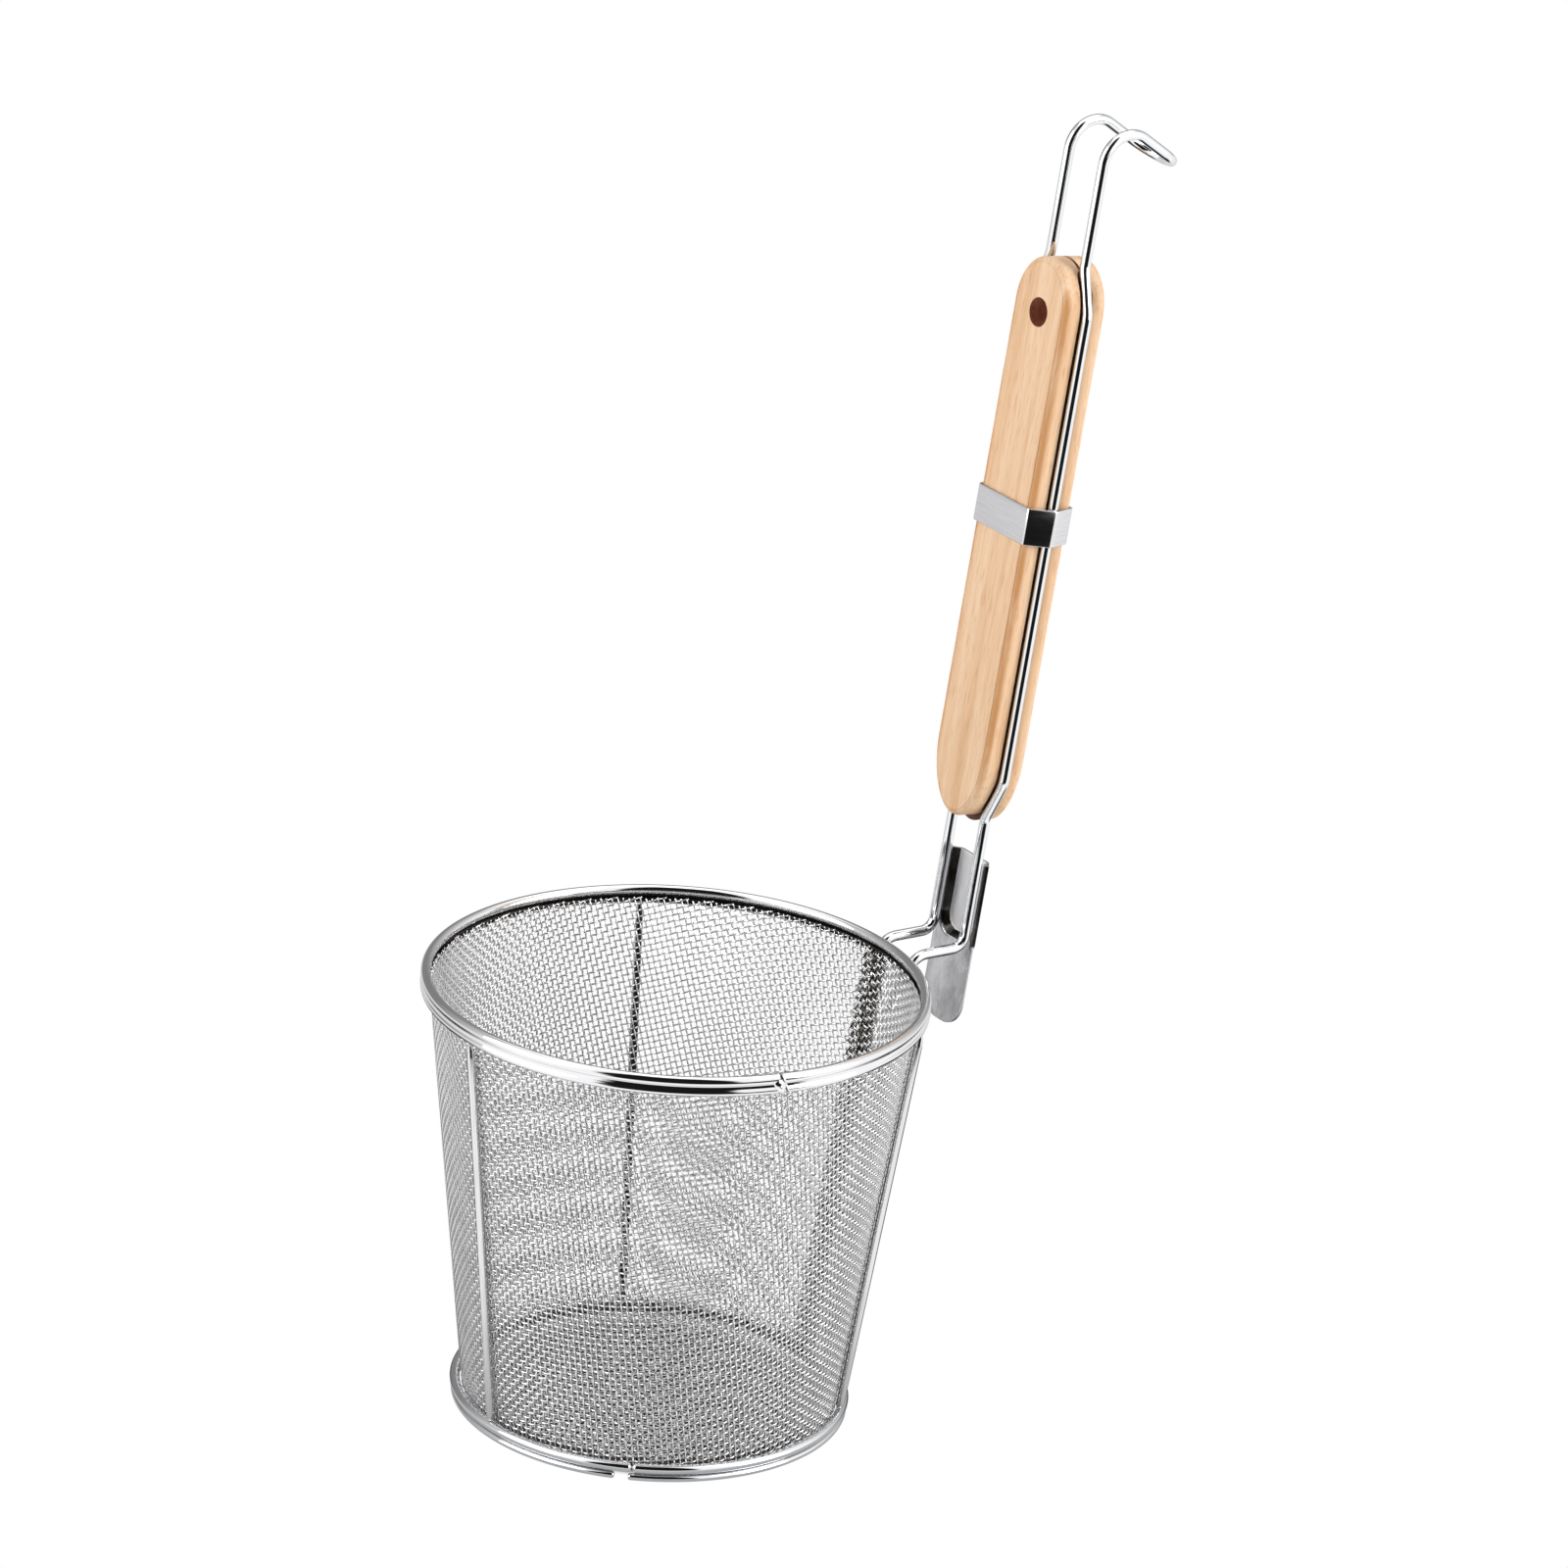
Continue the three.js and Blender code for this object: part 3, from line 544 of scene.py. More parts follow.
def rim_weld():
    """Weld in the pinched groove at the joint: an ellipsoid, skewed as the joint is."""
    u, v = np.meshgrid(np.linspace(-np.pi / 2, np.pi / 2, 15), np.linspace(0, 2 * np.pi, 25)[:-1],
                       indexing="ij")
    across = (WELD_HALF * np.cos(v) - WELD_SKEW * np.sin(v)) * np.cos(u) - WELD_HALF
    height = WELD_Z + WELD_HEIGHT * np.cos(u) * np.sin(v)
    points = around_axis(WELD_RADIUS + WELD_DEPTH * np.sin(u), RIM_JOINT + across / RIM_RADIUS, height)
    quads, uv = skin(points, wrap_across=True)
    make_piece("rim_weld", points, quads, rolled_strip, None, uv, end_caps(points))


rolled_rim()
rim_weld()
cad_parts["rim_wire"].data.materials.clear()
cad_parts["rim_wire"].data.materials.append(core_wire)


# Base rings

def open_ring(name, wire, z, joint, gap, node, floor=None):
    """A wire ring with an opening: a circle carried round the axis, its ends drawn in as rounds."""
    half = gap / 2 / BASE_RADIUS
    reach = wire / BASE_RADIUS * END_REACH
    ease = np.linspace(0, 1, 7)[:-1]
    inside = np.linspace(half + reach, 2 * np.pi - half - reach, 241)
    turn = np.r_[half + reach * ease, inside, 2 * np.pi - half - reach * ease[::-1]]
    drawn = np.sqrt(1 - END_SINK * (1 - ease) ** 2)
    scale = np.r_[drawn, np.ones(len(inside)), drawn[::-1]][:, None]
    angle = np.linspace(0, 2 * np.pi, RING_SIDES, endpoint=False)
    height = z + wire * scale * np.sin(angle)
    height = height if floor is None else np.maximum(height, floor)
    points = around_axis(BASE_RADIUS + wire * scale * np.cos(angle), joint + turn[:, None], height)
    around = np.linspace(0, 2 * np.pi * wire, RING_SIDES + 1)
    quads, uv = skin(points, np.r_[turn, 0] * BASE_RADIUS, around, wrap_across=True)
    make_piece(name, points, quads, polished_wire, node, uv, end_caps(points))


open_ring("base_wire_ring", BASE_WIRE, BASE_Z, BASE_JOINT, BASE_JOINT_WIDTH, "base_ring")
open_ring("foot_wire_ring", FOOT_WIRE, FOOT_Z, FOOT_OPENING, FOOT_OPENING_WIDTH, "foot_ring", 0.0)


# Woven cloth

def cone_surface(x, y, rise):
    """The flat fan rolled into the cone: angle over the cone's sine is azimuth, distance from its tip is
    slant height. Past the lap's first edge the cloth sinks under itself."""
    away = np.hypot(x, y)
    turn = np.arctan2(x, y)
    past = (turn - np.pi * SIN_CONE) * away + LAP_WIDTH / 2
    rise = rise - LAP_SINK * smoothed(np.clip((past + LAP_EASE / 2) / LAP_EASE, 0, 1))
    height = away * COS_CONE - CONE_TIP_DEPTH - rise * SIN_CONE
    return around_axis(away * SIN_CONE + rise * COS_CONE, np.pi + turn / SIN_CONE, height)


def on_cone(x, y):
    """True inside the cut fan: between the two hems, and as far past the seam line as half the lap."""
    away = np.hypot(x, y)
    height = away * COS_CONE - CONE_TIP_DEPTH
    past = (np.abs(np.arctan2(x, y)) - np.pi * SIN_CONE) * away
    return (height > WALL_BOTTOM) & (height < WALL_TOP) & (past < LAP_WIDTH / 2)


def flat_surface(x, y, rise):
    """The level disc, its weave turned by an eighth of a turn."""
    turn = math.sqrt(0.5)
    return np.stack((AXIS_X + turn * (x - y), turn * (x + y), BASE_Z + rise + 0 * x), -1)


def on_disc(x, y):
    """True inside the disc of the base."""
    return np.hypot(x, y) < BASE_CLOTH_RADIUS


def weave(surface, inside, lines, marks, pitch, upright):
    """One set of wires of a plain weave: points, quads and which quads are flanks. Each line crosses the
    marks over and under in turn: its height is a cosine with one point on each crown and one a third of a
    pitch to each side, joined by a square tube of smooth faces."""
    parity = np.where((np.arange(len(lines))[:, None] + np.arange(len(marks))[None]) % 2 == 0, 1.0, -1.0)
    parity = np.repeat(parity if upright else -parity, 3, axis=1) * np.tile([0.5, 1, 0.5], len(marks))
    shift = np.tile([-1 / 3, 0, 1 / 3], len(marks)) * pitch
    along = np.broadcast_to(np.repeat(marks, 3) + shift, parity.shape)
    across = np.broadcast_to((lines + rng.normal(0, WIRE_SCATTER, len(lines)))[:, None], parity.shape)
    x, y = (across, along) if upright else (along, across)
    kept = inside(x, y)
    beside = np.pad(kept, ((0, 0), (1, 1)))
    kept &= beside[:, :-2] | beside[:, 2:]
    centre = surface(x, y, parity * CLOTH_CRIMP)
    way = np.gradient(centre, axis=1)
    side = unit(np.cross(way, surface(x, y, 1.0) - surface(x, y, 0.0)))
    up = unit(np.cross(side, way))
    corner = np.radians([45, 135, 225, 315])[:, None]
    ring = np.cos(corner) * up[kept][:, None] + np.sin(corner) * side[kept][:, None]
    ring = centre[kept][:, None] + CLOTH_WIRE * ring
    number = np.cumsum(kept.ravel()).reshape(kept.shape) * 4 - 4
    joined = kept[:, :-1] & kept[:, 1:]
    here, there = number[:, :-1][joined][:, None], number[:, 1:][joined][:, None]
    k = np.arange(4)
    after = (k + 1) % 4
    walls = np.stack((here + k, here + after, there + after, there + k), -1).reshape(-1, 4)
    beside = np.pad(kept, ((0, 0), (1, 1)))
    first = number[kept & ~beside[:, :-2]][:, None] + k[::-1]
    last = number[kept & ~beside[:, 2:]][:, None] + k
    quads = np.concatenate((walls, first, last))
    face = np.arange(len(quads))
    return ring.reshape(-1, 3), quads, (face % 2 == 0) & (face < len(walls))


def cloth_piece(name, sets, node):
    """Sets of woven wires as one piece, whose tubes are bright on their crowns and painted grey on their
    flanks as shade.
    The dark finish is heat tint all along the lap's welded middle, and painted shade on the flanks within the
    lap and all over the base's hem."""
    points, quads, flank = zip(*sets)
    start = np.cumsum([0, *map(len, points)])
    quads = np.concatenate([part + first for part, first in zip(quads, start)])
    points = np.concatenate(points)
    finish = np.concatenate(flank).astype(np.int32)
    middle = points[quads].mean(1) - [AXIS_X, 0, 0]
    # Painted shade: the base's hem and the lap's flanks take the dark finish; only the lap's welded middle is
    # heat tint.
    if node == "base_mesh":
        finish[np.hypot(middle[:, 0], middle[:, 1]) > BASE_CLOTH_RADIUS - HEM_WIDTH] = 2
    else:
        across = np.where(middle[:, 0] > 0, np.abs(middle[:, 1]), LAP_WIDTH)
        finish[(across < LAP_WIDTH / 2) & (finish == 1) | (across < LAP_WELD_HALF)] = 2
    piece = make_piece(name, points, quads, woven_cloth, node)
    give_finishes(piece, [woven_flank, welded_cloth], finish)


def shares(lines, crossings, count):
    """The lines parted into pieces of about as many crossings each, every piece starting on an even line."""
    total = np.cumsum(crossings)
    cuts = np.searchsorted(total, total[-1] * np.arange(1, count) / count) // 2 * 2
    return np.split(lines, cuts)


def wall_cloth():
    """The cone's cloth: the upright and the level wires of the flat fan, each set in three pieces."""
    far = (WALL_TOP + CONE_TIP_DEPTH) / COS_CONE + SPARE_FAR
    near = (WALL_BOTTOM + CONE_TIP_DEPTH) / COS_CONE * math.cos(math.pi * SIN_CONE) - SPARE_NEAR
    reach = math.ceil(far * math.sin(math.pi * SIN_CONE) / UPRIGHT_PITCH) + SPARE_WIRES
    columns = np.arange(-reach, reach + 1) * UPRIGHT_PITCH
    levels = np.arange(math.floor(near / LEVEL_PITCH), math.ceil(far / LEVEL_PITCH)) * LEVEL_PITCH
    filled = on_cone(columns[:, None], levels[None])
    for number, chosen in enumerate(shares(columns, filled.sum(1), 3), 1):
        wires = weave(cone_surface, on_cone, chosen, levels, LEVEL_PITCH, True)
        cloth_piece(f"cloth_upright_{number}", [wires], "wall_mesh")
    for number, chosen in enumerate(shares(levels, filled.sum(0), 3), 1):
        wires = weave(cone_surface, on_cone, chosen, columns, UPRIGHT_PITCH, False)
        cloth_piece(f"cloth_level_{number}", [wires], "wall_mesh")


def base_cloth():
    """The base disc's cloth: both sets of wires in one piece."""
    reach = math.ceil(BASE_CLOTH_RADIUS / UPRIGHT_PITCH)
    columns = np.arange(-reach, reach + 1) * UPRIGHT_PITCH
    levels = np.arange(-reach, reach + 1) * LEVEL_PITCH
    one = weave(flat_surface, on_disc, columns, levels, LEVEL_PITCH, True)
    other = weave(flat_surface, on_disc, levels, columns, UPRIGHT_PITCH, False)
    cloth_piece("cloth_base", [one, other], "base_mesh")


wall_cloth()
base_cloth()


# Ribs

def rib(name, azimuth):
    """A straight rod along the cone, drawn in at the foot and tapered to a blunt point at the head."""
    z = np.array([BASE_Z + BASE_WIRE + CLEARANCE, RIM_BOTTOM - CLEARANCE])
    away = WALL_SEAT + WALL_SLOPE * (z - BASE_Z) + CLEARANCE + RIB_RADIUS
    share = np.r_[0, 0.002, 0.005, 0.009, np.linspace(0.02, 0.965, 12), np.linspace(0.97, 1, 8)]
    thin = np.interp(share, [0, 0.002, 0.005, 0.009, 0.965, 0.985, 0.995, 1],
                     [0.6, 0.82, 0.95, 1, 1, 0.8, 0.58, 0.35])
    angle = math.radians(azimuth)
    path = around_axis(away[0] + (away[1] - away[0]) * share, angle, z[0] + (z[1] - z[0]) * share)
    normal = np.array([math.cos(angle), math.sin(angle), 0.0])
    bar_piece(name + "_rod", path, normal, RIB_RADIUS * thin, 20, satin_rod, name)


for rib_name, rib_azimuth in RIB_AZIMUTHS.items():
    rib(rib_name, rib_azimuth)


# Handle wire

def from_upright(x, y, z):
    """A point measured from the basket's axis, in the handle frame."""
    out, up = x + AXIS_X - HANDLE_X, z - BEAD_Z
    return (out * math.cos(TILT) - up * math.sin(TILT), y, out * math.sin(TILT) + up * math.cos(TILT))


def grip_run(side):
    """The wire's corners beside the grip: from the neck out to the wide run and in to the hook's stem."""
    kink = KINK_SINK + KINK_LENGTH
    return [(0, side * NECK_HALF, GRIP_START + KINK_SINK), (0, side * GRIP_WIRE_HALF, GRIP_START + kink),
            (0, side * GRIP_WIRE_HALF, GRIP_END - kink), (0, side * HOOK_HALF, GRIP_END - KINK_SINK)]


def handle_path():
    """From the leg behind the rim up one side to the hook's tip, and the same back on the other side."""
    leg_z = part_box("handle_wire")[0].z / MM + LEG_END_RISE
    leg_radius = WALL_SEAT + WALL_SLOPE * (leg_z - BASE_Z) + CLEARANCE + WIRE_RADIUS
    setback = HOOK_BEND * math.tan(HOOK_TURN / 2)
    top = np.array([0, HOOK_HALF, GRIP_END + HOOK_STEM + setback])
    onward = np.array([math.sin(HOOK_TURN), 0, math.cos(HOOK_TURN)])
    side = np.array([
        from_upright(math.sqrt(leg_radius ** 2 - NECK_HALF ** 2), NECK_HALF, leg_z),
        from_upright(RIM_RADIUS + LEG_REACH, NECK_HALF, BEAD_Z - SHOULDER_DROP),
        (0, NECK_HALF, -SHOULDER_DROP / math.cos(TILT)),
        *grip_run(1),
        top,
        top + onward * (setback + HOOK_STRAIGHT + HOOK_HALF),
    ])
    bends = [LEG_BEND, SHOULDER_BEND] + [KINK_BEND] * 4 + [HOOK_BEND, HOOK_HALF]
    corners = np.concatenate((side, side[::-1] * [1, -1, 1]))
    return bent_path(corners, bends + bends[::-1])


def handle_wire():
    """The bent wire: its normal is its direction crossed with the Y axis, with the sign kept at the tip."""
    path = handle_path()
    path = path[np.r_[True, np.linalg.norm(np.diff(path, axis=0), axis=1) > 1e-3]]
    way = np.gradient(path, axis=0)
    normal = np.cross(way, [0, 1.0, 0])
    normal[np.arange(len(path)) >= len(path) / 2] *= -1
    size = np.linalg.norm(normal, axis=1)
    good = size > 0.05 * np.linalg.norm(way, axis=1)
    index = np.maximum.accumulate(np.where(good, np.arange(len(path)), 0))
    normal = (normal / np.maximum(size, 1e-9)[:, None])[index]
    ends = lean(*path.T)
    tip = lean(*(path + normal).T) - ends
    bar_piece("handle_bent_wire", ends, tip, WIRE_SHOWN_RADIUS, 28, polished_wire, "handle_wire")


handle_wire()


# Rest plate

def closed_sheet(name, layers, finish, node, along, across):
    """Two layers of one grid, joined all round their edge, as one closed piece."""
    rows, columns = layers.shape[1:3]
    one, uv = skin(layers[0], np.r_[along, along[-1]], np.r_[across, across[-1]])
    number = np.arange(rows * columns).reshape(rows, columns)
    edge = np.concatenate((number[0, :-1], number[:-1, -1], number[-1, :0:-1], number[:0:-1, 0]))
    after = np.roll(edge, -1)
    shift = rows * columns
    rim = np.stack((after, edge, edge + shift, after + shift), -1)
    quads = np.concatenate((one, one[:, ::-1] + shift, rim))
    uv = np.concatenate((uv, uv[:, ::-1], np.zeros((len(rim), 4, 2))))
    return make_piece(name, layers, quads, finish, node, uv)


def rest_plate():
    """Pressed sheet. Its recess is as deep as the distance from the recess's outline, a box with round lower
    corners, over the wall's width, up to its floor. Beside it a ridge backs each wire and the edge bends away
    from the wire; down the handle the bend fades to the flat tongue, whose width ends in round corners."""
    edge = [PLATE_MID + EDGE_LENGTH * math.sin(EDGE_TURN), RIDGE_END + EDGE_LENGTH * math.cos(EDGE_TURN)]
    section = eased(np.array([[PLATE_MID, 0], [PLATE_MID, RIDGE_END], edge]), 0.15, 0.3)
    section[0] = [PLATE_MID, 0]
    flat = np.linspace(0, 1, len(section)) ** 0.9 * TONGUE_HALF
    fine_top, fine_end = FINE_ROWS
    corner = np.radians(np.linspace(0, 90, 15))[1:]
    t = np.concatenate((np.linspace(PLATE_TOP, fine_top, 22), np.linspace(fine_top, fine_end, 34)[1:],
                        np.linspace(fine_end, TONGUE_BOTTOM + TONGUE_CORNER, 12)[1:],
                        TONGUE_BOTTOM + TONGUE_CORNER * (1 - np.sin(corner))))
    width = np.ones(len(t))
    width[-len(corner):] -= TONGUE_CORNER * (1 - np.cos(corner)) / TONGUE_HALF
    bend = smoothed(np.clip((t - BEND_END) / BEND_FADE, 0, 1))[:, None]
    across = section[:, 1] - RECESS_HALF + RECESS_CORNER
    down = RECESS_BOTTOM + RECESS_CORNER - t[:, None]
    past = np.hypot(np.maximum(across, 0), np.maximum(down, 0)) + np.minimum(np.maximum(across, down), 0)
    climb = (RECESS_CORNER - past) / RECESS_WALL
    rising, level = (np.logaddexp(0, (climb - start) / RECESS_EASE) for start in (0, 1))
    e = bend * section[:, 0] + (1 - bend) * PLATE_MID + RECESS_DEPTH * RECESS_EASE * (rising - level)
    y = (bend * section[:, 1] + (1 - bend) * flat) * width[:, None]
    e = np.concatenate((e[:, :0:-1], e), 1)
    y = np.concatenate((-y[:, :0:-1], y), 1)
    middle = lean(e, y, t[:, None])
    half = unit(np.cross(np.gradient(middle, axis=1), np.gradient(middle, axis=0))) * PLATE_SHEET / 2
    layers = np.stack((middle - half, middle + half))
    piece = closed_sheet("plate_pressing", layers, pressed_sheet, "rest_plate", t, y[0])
    # The recess's walls and the bent edges get the painted dark finish as shade and dark reflection.
    bent = (section[:, 1] > RIDGE_END - 0.1) & (bend > 0.5)
    finish = np.select((climb >= 0.95, (climb > 0.05) | bent), (1, 2), 0)
    finish = np.concatenate((finish[:, :0:-1], finish), 1)[:-1, :-1]
    give_finishes(piece, [pickled_sheet, tarnished_sheet], np.tile(finish.ravel(), 2))


rest_plate()


# Grip halves

def outward(loop):
    """Directions square to a closed loop, away from its inside."""
    way = np.roll(loop, -1, 0) - np.roll(loop, 1, 0)
    return unit(np.stack((way[:, 1], -way[:, 0]), -1))


def grip_outline(start):
    """A closed oblong with elliptical ends, the lower one longer."""
    up = np.radians(np.linspace(0, 180, 49))
    down = np.radians(np.linspace(180, 360, 57))
    straight = np.linspace(0, 1, 41)[1:-1, None]
    high, low = GRIP_END - GRIP_UPPER_END, GRIP_START + GRIP_LOWER_END
    upper = np.stack((GRIP_HALF * np.cos(up), high + GRIP_UPPER_END * np.sin(up)), -1)
    lower = np.stack((GRIP_HALF * np.cos(down), low + (low - start) * np.sin(down)), -1)
    left = upper[-1] + (lower[0] - upper[-1]) * straight
    right = lower[-1] + (upper[0] - lower[-1]) * straight
    return np.concatenate((upper, left, lower, right))


def cut_away(piece, cutters):
    """Takes closed cutters out of a piece and leaves its mesh as one closed shell."""
    for cutter in cutters:
        cut = piece.modifiers.new(cutter.name, "BOOLEAN")
        cut.operation, cut.solver, cut.object = "DIFFERENCE", "EXACT", cutter
    graph = bpy.context.evaluated_depsgraph_get()
    mesh = bpy.data.meshes.new_from_object(piece.evaluated_get(graph))
    piece.modifiers.clear()
    old, piece.data = piece.data, mesh
    mesh.name = old.name
    bpy.data.meshes.remove(old)


def make_cutter(name, points, finish):
    """A closed bar to cut with, removed after use. The faces it leaves have one of the wood's finishes."""
    quads = skin(points, wrap_across=True)[0]
    piece = new_object(name, closed_mesh(name, points, quads, end_caps(points)))
    give_finishes(piece, WOOD, np.full(len(piece.data.polygons), WOOD.index(finish)))
    return piece


def groove_cutter(name, side):
    """The wire's own run through the grip, a little fatter than the wire."""
    path = bent_path([(0, side * NECK_HALF, GRIP_START - KINK_LENGTH), *grip_run(side),
                      (0, side * HOOK_HALF, GRIP_END + KINK_LENGTH)], [KINK_BEND] * 4, 4)
    ring = tube(path, np.array([1.0, 0, 0]), WIRE_RADIUS + GROOVE_GAP, 24)
    # The groove's faces take the dark brown painted shade.
    return make_cutter(name, lean(*np.moveaxis(ring, -1, 0)), scorched)


def hole_cutter():
    """The drill's run through both halves."""
    depth = np.array([-HOLE_REACH, HOLE_REACH])[:, None]
    angle = np.linspace(0, 2 * np.pi, 48, endpoint=False)[None]
    points = lean(depth, HOLE_RADIUS * np.sin(angle), HOLE_T + HOLE_RADIUS * np.cos(angle))
    return make_cutter("hole", points, drilled)


def grip_half(name, side, start, node, cutters):
    """One wooden half: the outline carried from the parting to the face, its outer edge rounded by a quarter
    circle. Its parting face and that face's bevel get the same dark brown painted shade as its grooves."""
    loop = grip_outline(start)
    turn = np.radians(np.linspace(0, 90, 9))[1:]
    inset = np.r_[PARTING_BEVEL, PARTING_CURVE, 0, 0, GRIP_ROUND * (1 - np.cos(turn))]
    round_start = GRIP_FACE - GRIP_ROUND
    depth = np.r_[GRIP_PARTING, GRIP_PARTING + PARTING_CURVE, GRIP_PARTING + PARTING_BEVEL, round_start,
                  round_start + GRIP_ROUND * np.sin(turn)]
    flat = loop[None] - inset[:, None, None] * outward(loop)[None]
    points = lean(side * depth[:, None], flat[..., 0], flat[..., 1])
    quads = skin(points, wrap_across=True)[0]
    piece = make_piece(name, points, quads, beech, node, None, end_caps(points))
    # Painted shade: the parting bevel rows and the parting face are dark brown.
    dark = np.zeros(len(quads) + 1, np.int32)
    dark[:2 * len(loop)] = dark[-1] = 1
    give_finishes(piece, WOOD[1:], dark)
    cut_away(piece, cutters)


cutters = [groove_cutter("groove_left", 1), groove_cutter("groove_right", -1), hole_cutter()]
grip_half("grip_slab_back", 1, GRIP_START - BACK_LONGER, "grip_back", cutters)
grip_half("grip_slab_front", -1, GRIP_START, "grip_front", cutters)
for used in cutters:
    bpy.data.objects.remove(used)


# Band round the grip

def grip_band():
    """Folded band: flat on both faces of the grip, sloping to a ridge over each wire, with round lips."""
    face, corner = GRIP_FACE + CLEARANCE, GRIP_HALF - CLEARANCE
    out = GRIP_WIRE_HALF - corner
    over = WIRE_RADIUS + CLEARANCE
    ridge = corner + face * math.tan(math.atan2(out, face) + math.asin(over / math.hypot(out, face)))
    fold = np.array([(face, -corner), (face, corner), (0, ridge),
                     (-face, corner), (-face, -corner), (0, -ridge)])
    turns = zip(np.roll(fold, 1, 0), fold, np.roll(fold, -1, 0), (BAND_CORNER, BAND_CORNER, over) * 2)
    loop = np.concatenate([corner_arc(*turn, count=9) for turn in turns])
    lip = np.radians(np.linspace(0, 180, 7))
    half = BAND_SHEET / 2
    away = np.r_[half * (1 - np.cos(lip)), half * (1 + np.cos(lip))]
    up = np.r_[BAND_WIDTH / 2 - half + half * np.sin(lip), half - BAND_WIDTH / 2 - half * np.sin(lip)]
    section = loop[None] + away[:, None, None] * outward(loop)[None]
    points = lean(section[..., 0], section[..., 1], (BAND_T + up)[:, None])
    along, around = outline_length(np.stack((away, up), -1)), outline_length(loop)
    quads, uv = skin(points, along, around, wrap_along=True, wrap_across=True)
    make_piece("grip_folded_band", points, quads, brushed_band, "grip_band", uv[..., ::-1])


grip_band()


# Studio, with its distances in metres

def level_axis(degrees):
    """The level direction at an azimuth."""
    return (math.cos(math.radians(degrees)), math.sin(math.radians(degrees)), 0)


DARK_AXIS, LEE_AXIS, TABLE_AXIS, BEHIND_AXIS = (level_axis(angle) for angle in (-125, 55, -112, 75))
DARK_EDGE, DARK_CORE, TABLE_EDGE, TABLE_CORE = (math.cos(math.radians(angle)) for angle in (34, 28, 44, 36))
BEHIND_START, BEHIND_FULL = -0.1, 0.85
LEE_START, LEE_FULL = -0.2, 0.35
DARK_TOP_END, DARK_TOP_FULL = 0.985, 0.95
SHADE_RADIUS, SHADE_END = 0.047, 0.052
TABLE_NEAR_RADIUS, TABLE_FAR_RADIUS = 0.055, 0.13
TABLE_EDGE_RADIUS, PAST_TABLE_RADIUS = 0.25, 0.36
LEE_RADIUS, LEE_END = 0.26, 0.34
TABLE_NEAR, TABLE_FAR = 0.5, 1.25
LEE_LEVEL, BEHIND_TABLE, BEHIND_LEVEL = 0.03, 0.8, 0.28
ROOM_LEVEL = 1.25
DARK_LEVEL = 0.012
WORLD_FILL = 0.4
FLOOR_HALF, FLOOR_Z = 12.0, -0.0002
LAMP_AIM = (0, 0, 0.15)


def by_direction(tree, way, axis, start, full, low=0.0, high=1.0, **settings):
    """A level that goes from low to high as the cosine of a direction to an axis goes from start to full."""
    cosine = add_node(tree, "VectorMath", {0: way, 1: axis}, operation="DOT_PRODUCT")
    return add_node(tree, "MapRange", {
        "Value": (cosine, "Value"), "From Min": start, "From Max": full, "To Min": low, "To Max": high},
        **settings)


